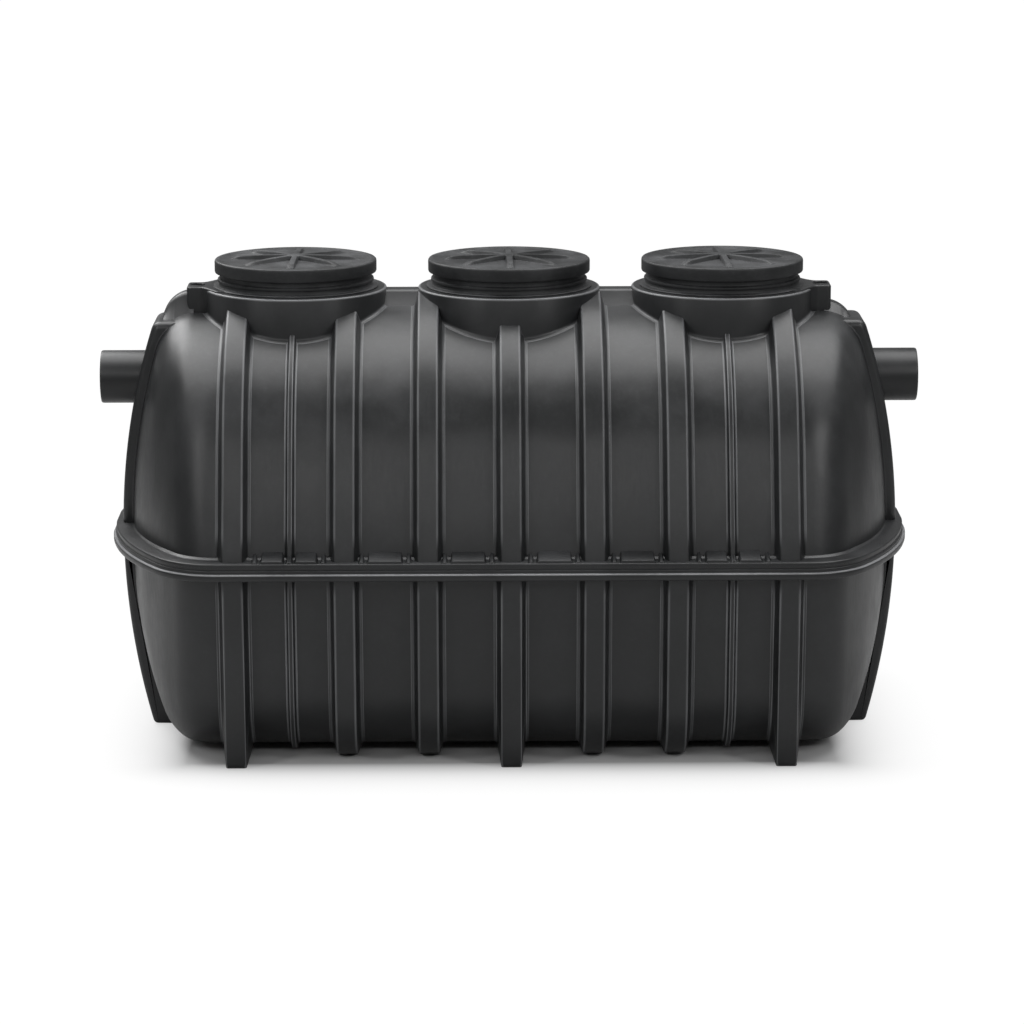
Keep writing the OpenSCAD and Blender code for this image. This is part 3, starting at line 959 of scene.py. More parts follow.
@dataclass
class HalfShells:
    """The two half-shells, each a barrel and two domed ends with a real wall."""

    form: BodyForm
    shop: Workshop
    manhole_r: float = 180.0
    manhole_cut: tuple = (700.0, 1000.0)
    pipe_cut: tuple = (700.0, 900.0)
    manhole_steps: int = 96
    stations: int = 60

    def build(self) -> None:
        """Builds all six pieces."""
        holes = [self._manhole(x) for x in self.form.turret_xs]
        for half in Half:
            upper = half is Half.UPPER
            self._barrel(half, holes if upper else [])
            for side in End:
                x = side.value * self.form.turret_x
                self._end(half, side, [self._manhole(x), self._pipe_hole(side)] if upper else [])

    def _manhole(self, x: float) -> bpy.types.Object:
        """A cutter for one turret's opening."""
        return self.shop.cutter(upright(circle(self.manhole_r, x, self.manhole_steps), self.manhole_cut))

    def _pipe_hole(self, side: End) -> bpy.types.Object:
        """A cutter for one pipe's hole in an end wall."""
        span = tuple(side.value * x for x in self.pipe_cut)
        return self.shop.cutter(lying(self.form.pipe_hole_r, self.form.pipe_z, span))

    def _barrel(self, half: Half, cutters: list) -> None:
        """Builds the straight middle of one half.

        Args:
            half: Which half-shell.
            cutters: Objects to cut away from it.
        """
        form = self.form
        outer, inner = form.outline(0.0, half), form.outline(form.wall, half)
        edge = form.end_outline(form.wall, half)
        step_x = form.barrel_half - form.wall
        run = [(-form.barrel_half, edge), (-step_x, edge)]
        run += [(x, inner) for x in np.linspace(-step_x, step_x, self.stations)]
        run += [(step_x, edge), (form.barrel_half, edge)]
        rows = [at_x(x, np.vstack([outer, line[::-1]])) for x, line in run]
        piece = Piece(f"{half.value}_shell_middle", made_as="skin")
        self.shop.make(piece, Surface().solid(rows), tuple(cutters))

    def _end(self, half: Half, side: End, cutters: list) -> None:
        """Builds one domed end of one half.

        Args:
            half: Which half-shell.
            side: Which end.
            cutters: Objects to cut away from it.
        """
        outer = self.form.end_rows(0.0, half, side)
        inner = self.form.end_rows(self.form.wall, half, side)
        surface = Surface()
        surface.grid(np.concatenate([outer, inner[:, ::-1]], axis=1))
        n, m = outer.shape[:2]
        surface.faces.append(tuple(range(2 * m)))
        # The last ring's two skins close one by one, and the strip between them
        last = (n - 1) * 2 * m
        surface.faces.append(tuple(last + j for j in range(m)))
        surface.faces.append(tuple(last + m + j for j in range(m)))
        surface.faces.append((last, last + m - 1, last + m, last + 2 * m - 1))
        piece = Piece(f"{half.value}_shell_{side.label}_end", made_as="skin")
        self.shop.make(piece, surface, tuple(cutters))


@dataclass(frozen=True)
class RibSection:
    """Cross-section of a drafted rib in millimetres.

    Attributes:
        base_w: Width where it meets the shell.
        face_w: Width of its face.
        edge_r: Rounding of its edges.
        cove_r: Size of the coves at its foot.
    """

    base_w: float
    face_w: float
    edge_r: float
    cove_r: float


@dataclass
class HoopRibs:
    """Drafted hoop ribs over and under the body, with rounded edges and coved feet.

    Every third rib, from the first, stands out under the tank as a square foot. The others follow
    the tub's corner.
    """

    form: BodyForm
    shop: Workshop
    xs: tuple = (-557.0, -334.0, -167.0, 0.0, 167.0, 334.0, 557.0)
    hoop: RibSection = RibSection(base_w=59.0, face_w=41.0, edge_r=4.5, cove_r=6.0)
    height: float = 28.0
    foot_every: int = 3
    foot_in: float = 33.0
    toe_r: float = 12.0
    minor_toe_r: float = 140.0
    thin: RibSection = RibSection(base_w=18.0, face_w=9.0, edge_r=2.2, cove_r=3.0)
    thin_h: float = 12.0
    sink: float = 3.0
    edge_steps: int = 5
    cove_steps: int = 6
    collar_overlap: float = 3.0
    collar_cut: tuple = (600.0, 1000.0)
    collar_steps: int = 96

    def build(self) -> None:
        """Builds the seven hoop ribs of each half and the two pairs of thin ones."""
        collar_r = self.form.collar_r - self.collar_overlap
        cutters = {x: self.shop.cutter(upright(circle(collar_r, x, self.collar_steps), self.collar_cut))
                   for x in self.form.turret_xs}
        for number, x in enumerate(self.xs, start=1):
            self._lower(number, x)
            self._upper(number, x, cutters)
        for side in End:
            self._thin(side, cutters[side.value * self.form.turret_x])

    def _lower(self, number: int, x: float) -> None:
        """Builds one rib under the tank.

        Args:
            number: Its number along the tank.
            x: Its middle.
        """
        form = self.form
        inner = form.tub(0.0, form.flange_under_z)
        half = form.half_width + self.height
        if number % self.foot_every == 1:
            slope = math.degrees(math.atan(self.foot_in / form.parting_z))
            outer = form.tub(0.0, form.flange_under_z, half, slope, 0.0, self.toe_r)
        else:
            outer = form.tub(0.0, form.flange_under_z, half, None, 0.0, self.minor_toe_r)
        sections = self._sections(x, inner, outer, self.hoop, (inner, inner))
        self.shop.make(Piece(f"lower_rib_{number}"), Surface().solid(sections))

    def _upper(self, number: int, x: float, cutters: dict) -> None:
        """Builds one rib over the tank.

        Args:
            number: Its number along the tank.
            x: Its middle.
            cutters: The collars' footprints by their X, which the rib stops against.
        """
        form = self.form
        inner = form.vault(0.0, form.flange_top_z)
        outer = form.vault(-self.height, form.flange_top_z)
        # The outermost ribs stand with one foot on a lower domed end
        dome = form.lowered(inner)
        feet = {1: (dome, inner), len(self.xs): (inner, dome)}.get(number, (inner, inner))
        near = [tool for turret_x, tool in cutters.items() if abs(turret_x - x) < form.lug_reach]
        sections = self._sections(x, inner, outer, self.hoop, feet)
        self.shop.make(Piece(f"upper_rib_{number}"), Surface().solid(sections), tuple(near))

    def _thin(self, side: End, cutter: bpy.types.Object) -> None:
        """Builds the thin ribs at one end turret, over and under the tank.

        Args:
            side: Which end.
            cutter: The collar's footprint.
        """
        form, surface = self.form, Surface()
        for outline, z in ((form.tub, form.flange_under_z), (form.vault, form.flange_top_z)):
            foot, face = outline(0.0, z), outline(-self.thin_h, z)
            surface.solid(self._sections(side.value * form.turret_x, foot, face, self.thin, (foot, foot)))
        self.shop.make(Piece(f"thin_ribs_{side.label}"), surface, (cutter,))

    def _sections(self, x: float, inner: np.ndarray, outer: np.ndarray, rib: RibSection,
              feet: tuple[np.ndarray, np.ndarray]) -> np.ndarray:
        """Cross-sections of a rib along its run.

        Args:
            x: The rib's middle.
            inner: Outline that it stands on.
            outer: Outline of its face.
            rib: Its cross-section.
            feet: Outlines at which its low-X and high-X coves land.

        Returns:
            Array of sections x points x 3.
        """
        rows = []
        for a, b, low_foot, high_foot in zip(inner, outer, *feet):
            left = self._flank(x, -1, a, b, low_foot, rib)
            rows.append(left[::-1] + self._flank(x, 1, a, b, high_foot, rib))
        return np.array(rows)

    def _flank(self, x: float, sign: int, a: np.ndarray, b: np.ndarray, foot: np.ndarray,
               rib: RibSection) -> list[tuple]:
        """One side of a cross-section: rounded edge, drafted flank, cove and sunk foot.

        Args:
            x: The rib's middle.
            sign: -1 for the low-X side, 1 for the high-X one.
            a: Point of the shell under it.
            b: Point of its face.
            foot: Point at which its cove lands.
            rib: Its cross-section.

        Returns:
            Points from the face's edge to the foot.
        """
        depth = float(np.linalg.norm(b - a))
        out = (b - a) / depth
        flank = np.array([(rib.base_w - rib.face_w) / 2, -depth])
        down = flank / np.linalg.norm(flank)
        corner, base = np.array([rib.face_w / 2, depth]), np.array([rib.base_w / 2, 0.0])
        land = base + (rib.cove_r, 0.0)
        edge = bezier(corner - (rib.edge_r, 0), corner, corner + down * rib.edge_r, self.edge_steps)
        points = [(x + sign * px, *(a + out * h)) for px, h in edge]
        stepped = np.linalg.norm(a - foot) > 0.01
        start = base + (0, rib.cove_r) if stepped else base - down * rib.cove_r
        cove = bezier(start, base, land, self.cove_steps)
        points += [(x + sign * px, *((foot if stepped else a) + out * h)) for px, h in cove]
        points.append((x + sign * land[0], *(foot - out * self.sink)))
        return points


@dataclass
class Flange:
    """The stepped joint flange of both halves and the pads on it."""

    form: BodyForm
    shop: Workshop
    reach: float = 46.0
    band: float = 7.0
    lip_step: float = 5.0
    groove_d: float = 3.0
    foot_in: float = 4.0
    pad_h: float = 14.0
    pad_lip_h: float = 5.0
    pad_slope: float = 4.0
    pads: tuple = ((50.0, 122.0), (216.0, 288.0), (386.0, 433.0), (453.0, 501.0))
    knob_w: float = 12.0
    knob_gap: float = 5.0
    knob_h: float = 11.0
    knob_lip_h: float = 3.0
    knob_slope: float = 3.5
    thin_end: float = 0.4
    lean: float = 1.5

    def build(self) -> None:
        """Builds both flanges and the pads."""
        for half, profile in ((Half.LOWER, self._lower_profile()), (Half.UPPER, self._upper_profile())):
            rows = [at_z(self.form.plan(out), z) for out, z in profile]
            piece = Piece(f"{half.value}_flange", LIP_HIGHLIGHTED_SHELL, crease=50, paints_edge_highlight=False)
            self.shop.make(piece, Surface().ring(rows))
        self._pads()

    def _lower_profile(self) -> list[tuple]:
        """The lower flange's section: a square band with eased edges.

        Returns:
            Points as (out from the skin, z).
        """
        z, reach, under = self.form.parting_z, self.reach, self.form.flange_under_z
        return [(-self.foot_in, under), (reach - 4, under), (reach - 1, under + 1.2), (reach, under + 4),
                (reach, z - 4), (reach - 0.7, z - 1.6), (reach - 2.6, z - 0.4), (reach - 4, z),
                (-self.foot_in, z)]

    def _upper_profile(self) -> list[tuple]:
        """The upper flange's section: a band, a groove over it and a cove up to the skin.

        Returns:
            Points as (out from the skin, z).
        """
        z, over, edge = self.form.parting_z, self.form.flange_top_z, self.reach - self.lip_step
        step, floor, upper = z + self.band, edge - self.groove_d, edge - self.groove_d / 2
        foot, cove = self.foot_in + 5.0, over + 4.2
        return [(-foot, z), (edge, z), (edge, step - 1.6), (edge - 0.8, step - 0.4), (floor, step + 0.2),
                (floor, over - self.band - 0.6), (upper, over - self.band), (upper, over - 2.6),
                (upper - 0.9, over - 0.8), (upper - 2.8, over), (4.0, over), (0.0, over + 0.8),
                (-3.6, cove), (-foot, cove)]

    def _pads(self) -> None:
        """Builds the pads and knobs between the ribs, on both long sides."""
        surface = Surface()
        for hands in ((-1, -1), (-1, 1), (1, -1), (1, 1)):
            for x0, x1 in self.pads:
                surface.solid(self._pad(hands, (x0, x1), self.pad_lip_h, self.pad_h, self.pad_slope))
                for knob in (x0 - self.knob_gap - self.knob_w, x1 + self.knob_gap):
                    ends = (knob, knob + self.knob_w)
                    surface.solid(self._pad(hands, ends, self.knob_lip_h, self.knob_h, self.knob_slope))
        self.shop.make(Piece("flange_pads", bevel_mm=1.6), surface)

    def _pad(self, hands: tuple[int, int], span: tuple[float, float], lip: float, back: float,
             slope: float) -> list:
        """One pad, sloping up to the body and at both ends.

        Args:
            hands: Signs of its X and Y.
            span: Its ends along the tank.
            lip: Its height at the flange's edge.
            back: Its height at the body.
            slope: Length of the slope at each end.

        Returns:
            Its cross-sections.
        """
        z, low, (x0, x1) = self.form.flange_top_z, self.thin_end, span
        front = self.form.half_width + self.reach - self.lip_step - self.groove_d - 1.0
        body = self.form.vault(0.0, z)[0][0]
        body_back = self.form.vault(0.0, z + back)[0][0]
        rows = []
        for x, k in ((x0, 0.0), (x0 + slope, 1.0), (x1 - slope, 1.0), (x1, 0.0)):
            ring = [(front, z - 1), (front - self.lean * k, z + low + (lip - low) * k),
                    (body_back + (body - body_back) * (1 - k) - 2, z + low + (back - low) * k),
                    (body - 3, z - 1)]
            rows.append([(hands[0] * x, hands[1] * -y, height) for y, height in ring])
        return rows


@dataclass
class EndRibs:
    """Broad ribs down the middle of both domed ends, with flat feet and flat tops."""

    form: BodyForm
    shop: Workshop
    half_w: float = 72.0
    height: float = 18.0
    foot_r: float = 1560.0
    cove_r: float = 5.0
    edge_r: float = 11.0
    shoulder_r: float = 15.0
    shoulder_drop: float = 90.0
    top_corner_r: float = 15.0
    toe_r: float = 9.0
    sunk: float = 5.0
    lower_back_z: float = 40.0
    lower_start_z: float = 30.0
    cove_from_z: float = 34.0
    cove_top_gap: float = 2.0
    cove_sunk: float = 4.0
    pipe_cut: tuple = (600.0, 900.0)
    face_steps: int = 40
    lower_back_steps: int = 30
    edge_steps: int = 8
    cove_rows: int = 48

    def build(self) -> None:
        """Builds the upper and lower rib of both ends."""
        for side in End:
            for half, outline in ((Half.LOWER, self._lower_outline()), (Half.UPPER, self._upper_outline())):
                self._rib(side, half, *outline)

    def _face_x(self, z: float, half: Half) -> float:
        """X of a rib's face.

        Args:
            z: Height on the face.
            half: Which half-shell the rib is on.

        Returns:
            The distance along the tank.
        """
        form = self.form
        r = form.end_side_r + self.height if half is Half.UPPER else self.foot_r
        return form.end_x + self.height - r + math.sqrt(r * r - (z - form.parting_z) ** 2)

    def _upper_outline(self) -> tuple[list, list]:
        """The upper rib seen from the side: a face, a rounded top corner and a sunk back.

        Returns:
            The face's points and the back's, each as (x, z).
        """
        form, r = self.form, self.top_corner_r
        z0, z1 = form.flange_top_z, form.end_rib_top_z
        start, fx = form.turret_x + form.lug_reach, self._face_x(z1, Half.UPPER)
        heights = np.linspace(z0, z1, self.face_steps)
        face = [(self._face_x(z, Half.UPPER), z) for z in heights if z < z1 - r]
        bend = (self._face_x(z1 - r, Half.UPPER), z1 - r)
        face += [tuple(p) for p in bezier(bend, (fx, z1), (fx - r, z1), 7)]
        back = [(form.end_skin_x(0.0, z) - self.sunk, z) for z in np.linspace(z1, z0, self.face_steps)]
        back = [p for p in back if p[0] > start + 0.1 and p[1] < z1 - self.shoulder_r - 1]
        return face, [(start, z1)] + back

    def _lower_outline(self) -> tuple[list, list]:
        """The lower rib seen from the side: a rounded toe, a face and a sunk back.

        Returns:
            The face's points and the back's, each as (x, z).
        """
        form, toe, z1 = self.form, self.toe_r, self.form.flange_under_z
        start, fx = form.end_x - form.keel_corner_r - 2 * self.height, self._face_x(0.0, Half.LOWER)
        bend = (self._face_x(toe, Half.LOWER), toe)
        face = [tuple(p) for p in bezier((fx - toe, 0.0), (fx, 0.0), bend, 6)]
        face += [(self._face_x(z, Half.LOWER), z) for z in np.linspace(0.0, z1, self.face_steps) if z > toe]
        heights = np.linspace(z1, self.lower_back_z, self.lower_back_steps)
        back = [(form.end_skin_x(0.0, z) - self.sunk, z) for z in heights]
        return face, [p for p in back if p[0] > start] + [(start, self.lower_start_z), (start, 0.0)]

    def _rib(self, side: End, half: Half, face: list, back: list) -> None:
        """Builds one end rib and its coves.

        Args:
            side: Which end.
            half: Which half-shell it is on.
            face: Points of its face, as (x, z).
            back: Points of its back, as (x, z).
        """
        form, upper = self.form, half is Half.UPPER
        outline = np.array([(side.value * x, z) for x, z in face + back])
        cutters = ()
        if upper:
            ends = tuple(side.value * x for x in self.pipe_cut)
            cutters = (self.shop.cutter(lying(form.pipe_hole_r, form.pipe_z, ends)),)
        piece = Piece(f"{half.value}_end_rib_{side.label}", paints_edge_highlight=False)
        self.shop.make(piece, self._rounded(outline, len(face), upper), cutters)
        span = (self.cove_from_z, form.flange_under_z)
        if upper:
            span = (form.flange_top_z, form.end_rib_top_z - self.cove_top_gap)
        self.shop.make(replace(piece, made_as="coves"), self._coves(side, half, span))

    def _rounded(self, outline: np.ndarray, outer: int, upper: bool) -> Surface:
        """The rib between its flanks, with the edges of its face rounded.

        Args:
            outline: Closed loop of (x, z), the face's points first.
            outer: How many of the points are the face's.
            upper: True where its edge is roundest round the flat top.

        Returns:
            The closed surface.
        """
        run = outline[: outer + 1]
        inward = inwards(run, np.gradient(run, axis=0), outline.mean(axis=0))
        near_top = np.clip(1 - (outline[:, 1].max() - outline[:, 1]) / self.shoulder_drop, 0, 1)
        if not upper:
            near_top[:] = 0.0
        radius = self.edge_r + (self.shoulder_r - self.edge_r) * near_top**2 * (3 - 2 * near_top)
        rows = []
        for turn in np.linspace(0, math.pi / 2, self.edge_steps):
            ring = outline.copy()
            ring[: outer + 1] += inward * (radius[: outer + 1] * (1 - math.cos(turn)))[:, None]
            rows.append([(x, self.half_w - r * (1 - math.sin(turn)), z) for (x, z), r in zip(ring, radius)])
        return Surface().solid([[(x, -y, z) for x, y, z in ring] for ring in rows][::-1] + rows)

    def _coves(self, side: End, half: Half, span: tuple[float, float]) -> Surface:
        """Coves where the rib's flanks run into the domed end.

        Args:
            side: Which end.
            half: Which half-shell the rib is on.
            span: Their lowest and highest height.

        Returns:
            The surface of both coves.
        """
        form, wide, sunk = self.form, self.half_w + self.cove_r, self.cove_sunk
        surface = Surface()
        for hand in (-1, 1):
            rows = []
            for z in np.linspace(*span, self.cove_rows):
                root = np.array([form.end_skin_x(self.half_w, z), self.half_w])
                out = min(self.cove_r, max(0.3, self._face_x(z, half) - root[0] - 3.0))
                skin = np.array([form.end_skin_x(wide, z), wide])
                ring = [(root[0] - sunk, self.half_w - sunk)]
                ring += [tuple(p) for p in bezier(root + (out, 0.0), root, skin, 7)]
                ring.append((skin[0] - sunk, wide))
                rows.append([(side.value * px, hand * py, z) for px, py in ring])
            surface.solid(rows)
        return surface


@dataclass
class Turrets:
    """Collars moulded on the crown, ringed necks and their lids."""

    form: BodyForm
    shop: Workshop
    collar_wall: float = 9.0
    collar_depth: float = 9.0
    neck_r: float = 159.5
    neck_bore_r: float = 151.0
    lid_rise: float = 58.0
    lid_r: float = 168.0
    lid_rim_h: float = 27.0
    lid_t: float = 7.0
    dish: float = 1.8
    arm_count: int = 8
    arm_in: float = 14.0
    arm_out: float = 134.0
    arm_w: float = 15.0
    hub_h: float = 9.8
    tip_h: float = 5.0
    hub_skirt: float = 5.0
    cove_r: float = 7.0
    steps: int = 128
    hub_steps: int = 40
    arm_steps: int = 16
    # How far each lid is screwed round, in degrees
    turns: tuple = (("inlet", -2.0), ("middle", 1.0), ("outlet", 3.0))

    def build(self) -> None:
        """Builds the collar, neck and lid of each turret."""
        for x, (name, turn) in zip(self.form.turret_xs, self.turns):
            self._collar(name, x)
            self._neck(name, x)
            self._lid(name, x, turn)

    def _collar(self, name: str, x: float) -> None:
        """Builds one collar, its foot coved onto the arched crown.

        Args:
            name: The turret's name.
            x: Its axis.
        """
        r, z, bore = self.form.collar_r, self.form.collar_z, self.neck_bore_r
        land_r, inner_r, low = r + self.cove_r, r - self.collar_wall, z - self.collar_depth
        rows = []
        for t in np.linspace(0, TURN, self.steps, endpoint=False):
            c, s = math.cos(t), math.sin(t)
            foot = self.form.top_z(x + r * c, r * s)
            land = self.form.top_z(x + land_r * c, land_r * s)
            profile = [(bore, low), (bore, z), (r - 5.5, z), (r - 4.2, z), (r - 2.4, z - 0.5),
                       (r - 0.9, z - 1.9), (r, z - 4.5)]
            profile += [tuple(p) for p in bezier((r, foot + self.cove_r), (r, foot), (land_r, land), 6)]
            profile += [(land_r - 0.5, land - 3), (inner_r, foot - 5), (inner_r, low)]
            rows.append([(x + pr * c, pr * s, pz) for pr, pz in profile])
        self.shop.make(Piece(f"collar_{name}", crease=40), Surface().ring(rows))

    def _lathe(self, x: float, profile: list) -> Surface:
        """Turns a closed profile about a vertical axis.

        Args:
            x: The axis.
            profile: Points as (r, z).

        Returns:
            The closed surface.
        """
        return Surface().ring([[(x + r * math.cos(t), r * math.sin(t), z) for r, z in profile]
                       for t in np.linspace(0, TURN, self.steps, endpoint=False)])

    def _neck(self, name: str, x: float) -> None:
        """Builds one neck: a flange on the collar, a bead, a groove and the thread's land.

        Args:
            name: The turret's name.
            x: Its axis.
        """
        r, b, z = self.neck_r, self.neck_bore_r, self.form.collar_z
        flange = [(b, z + 0.1), (r + 12, z + 0.1), (r + 12, z + 2.6), (r + 10.8, z + 3.6), (r + 4, z + 4),
                  (r + 1.2, z + 4.8), (r, z + 7)]
        bead = [(r, z + 12), (r + 2.2, z + 13.2), (r + 2.8, z + 15.5), (r + 2.2, z + 17.8), (r, z + 19)]
        groove = [(r - 3.6, z + 20.4), (r - 4, z + 22), (r - 4, z + 27), (r - 3.2, z + 28.4), (r, z + 29)]
        land = [(r, z + 49), (r - 1.5, z + 50.9), (b, z + 50.9)]
        self.shop.make(Piece(f"neck_{name}", LID, crease=40), self._lathe(x, flange + bead + groove + land))

    def _lid(self, name: str, x: float, turn: float) -> None:
        """Builds one lid: a dished plate in a raised border, a chamfered rim and a star of ribs.

        Args:
            name: The turret's name.
            x: Its axis.
            turn: How far it is screwed round, in degrees.
        """
        r, z = self.lid_r, self.form.collar_z + self.lid_rise
        under, inside, plate, top = z - self.lid_rim_h, self.neck_r + 2, z - self.lid_t, z - self.dish
        # The plate stops just short of the axis, where its triangles would have no width
        axis = 1e-3
        bottom = [(axis, plate), (inside, plate), (inside, under), (r - 2.6, under), (r - 0.9, under + 0.8)]
        rim = [(r - 0.1, under + 3), (r, z - 5), (r - 0.6, z - 2.2), (r - 2.2, z - 0.5), (r - 4.5, z)]
        border = [(r - 9, z), (r - 11, z - 0.4), (r - 13, top), (r - 40, top - 0.2), (axis, top + 0.4)]
        surface = self._lathe(x, bottom + rim + border)
        for k in range(self.arm_count):
            surface.solid(self._arm(x, math.radians(turn + 360 / self.arm_count * k - 90), top))
        hub_r = self.arm_in + self.hub_skirt
        hub = ((1.18, -1.0), (1.0, self.hub_h - 1.4), (0.9, self.hub_h - 0.3), (0.72, self.hub_h),
               (0.02, self.hub_h + 0.2))
        surface.solid([at_z(circle(hub_r * share, x, self.hub_steps), top + lift) for share, lift in hub])
        self.shop.make(Piece(f"lid_{name}", LID, crease=38), surface)

    def _arm(self, x: float, angle: float, top: float) -> list:
        """One arm of the star: tallest at the hub, sloping down to its tip.

        Args:
            x: The lid's axis.
            angle: The arm's direction in radians.
            top: Height of the plate.

        Returns:
            Its cross-sections.
        """
        along = np.array([math.cos(angle), math.sin(angle)])
        across = np.array([-along[1], along[0]])
        # Half of the section, as a share of the arm's width and of its height
        left = [(-0.62, -1.0), (-0.55, 0.0), (-0.49, 0.14), (-0.43, 0.78), (-0.36, 0.95)]
        section = left + [(0.0, 1.0)] + [(-k, h) for k, h in left[::-1]]
        rows = []
        for t in np.linspace(0, 1, self.arm_steps):
            d = self.arm_in + (self.arm_out - self.arm_in) * t
            rise = (self.hub_h + (self.tip_h - self.hub_h) * t**2) * min(1.0, (1 - t) * 9 + 0.02)
            places = [(along * d + across * k * self.arm_w, h) for k, h in section]
            rows.append([(x + p[0], p[1], top + (h if h < 0 else h * rise)) for p, h in places])
        return rows


@dataclass
class LugsAndRails:
    """Lifting lugs, crown rails and the shoulder ribs over the domed ends."""

    form: BodyForm
    shop: Workshop
    half_w: float = 35.0
    lug_rise: float = 5.0
    web_drop: float = 1.6
    lug_edge_r: float = 3.5
    nose_r: float = 10.0
    root_half_w: float = 95.0
    root_in: float = 48.0
    # Distances from the turret's axis at which the web narrows to the lug
    narrowing: tuple = (160.0, 186.0, 200.0)
    eye_in: float = 19.0
    eye_r: float = 14.8
    eye_rim_r: float = 18.2
    eye_cut: tuple = (875.0, 940.0)
    eye_steps: int = 48
    web_sunk: float = 4.0
    rail_w: float = 44.0
    rail_drop: float = 5.0
    rail_overlap: float = 6.0
    skirt: float = 23.0
    shoulder_r: float = 65.0
    shoulder_set: float = 13.0
    shoulder_w: float = 40.0
    shoulder_root: float = 14.0
    shoulder_heights: tuple = (41.0, 17.0)
    shoulder_arc: tuple = (100.0, -30.0)
    shoulder_steps: int = 60
    rail_stations: int = 6

    def build(self) -> None:
        """Builds the lugs, the rails and both shoulder ribs."""
        self._lugs()
        self._rails()
        for side, height in zip(End, self.shoulder_heights):
            self._shoulder(side, height)

    def _lugs(self) -> None:
        """Builds both lugs: a web off the collar with a rounded nose, and a rim round the eye."""
        surface, cutters = Surface(), []
        for side in End:
            centre = side.value * (self.form.turret_x + self.form.lug_reach - self.eye_in)
            surface.solid(self._web(self._lug_plan(side)))
            surface.ring(self._eye_rim(centre))
            eye = circle(self.eye_r, centre, self.eye_steps)
            cutters.append(self.shop.cutter(upright(eye, self.eye_cut)))
        piece = Piece("lifting_lugs", bevel_mm=1.5, overlaps=True, paints_edge_highlight=False)
        self.shop.make(piece, surface, tuple(cutters))

    def _lug_plan(self, side: End) -> np.ndarray:
        """Plan of one lug: wide at the collar, narrowing to a nose with round corners.

        Args:
            side: Which end.

        Returns:
            Points as (x, y).
        """
        form, sign, wide, r = self.form, side.value, self.half_w, self.nose_r
        nose = sign * (form.turret_x + form.lug_reach)
        root = sign * (form.turret_x + form.collar_r - self.root_in)
        x0, x1, x2 = (sign * (form.turret_x + d) for d in self.narrowing)
        near = [(root, -self.root_half_w)]
        near += [tuple(p) for p in bezier((x0, -self.root_half_w), (x1, -wide), (x2, -wide), 8)]
        corners = bezier((nose - sign * r, -wide), (nose, -wide), (nose, -wide + r), 8)
        corners += bezier((nose, wide - r), (nose, wide), (nose - sign * r, wide), 8)
        return np.array(near + [tuple(p) for p in corners] + [(x, -y) for x, y in near[::-1]])

    def _web(self, outline: np.ndarray) -> list:
        """A lug's web, from under the skin up to its rounded top edge.

        Args:
            outline: Its plan, as (x, y).

        Returns:
            Its level rings, upwards.
        """
        edge, top = self.lug_edge_r, self.form.collar_z + self.lug_rise - self.web_drop
        along = np.roll(outline, -1, axis=0) - np.roll(outline, 1, axis=0)
        inward = inwards(outline, along, outline.mean(axis=0))
        foot = [(x, y, self.form.top_z(x, y) - self.web_sunk) for x, y in outline]
        rows = [foot, at_z(outline, top - edge)]
        for turn in np.linspace(math.pi / 8, math.pi / 2, 4):
            ring = outline + inward * (edge * (1 - math.cos(turn)))
            rows.append(at_z(ring, top - edge * (1 - math.sin(turn))))
        return rows

    def _eye_rim(self, centre: float) -> list:
        """The raised rim round a lug's eye.

        Args:
            centre: X of the eye.

        Returns:
            Its rings.
        """
        z, rim, eye = self.form.collar_z + self.lug_rise, self.eye_rim_r, self.eye_r
        low = z - self.web_drop - 6
        profile = ((rim, low), (rim, z - 2.4), (rim - 0.9, z - 0.7), (rim - 2.6, z), (eye + 1.5, z),
                   (eye, z - 1.5), (eye, low))
        return [at_z(circle(r, centre, self.eye_steps), height) for r, height in profile]

    def _rails(self) -> None:
        """Builds the rails along the crown between the turrets."""
        form, half, overlap = self.form, self.rail_w / 2, self.rail_overlap
        z, foot = form.collar_z - self.rail_drop, half + self.skirt
        low = form.top_z(0.0, foot) - 2.0
        slope = [(-foot, low - 6), (-foot, low), (-foot + 3, low + 2.6), (-half - 1, z - 5),
                 (-half + 2, z - 1.4), (-half + 6, z)]
        ring = np.array(slope + [(-y, h) for y, h in reversed(slope)])
        surface = Surface()
        for side in End:
            x0 = side.value * (form.collar_r - overlap)
            x1 = side.value * (form.turret_x - form.collar_r + overlap)
            surface.solid([at_x(x, ring) for x in np.linspace(x0, x1, self.rail_stations)])
        self.shop.make(Piece("crown_rails", crease=40), surface)

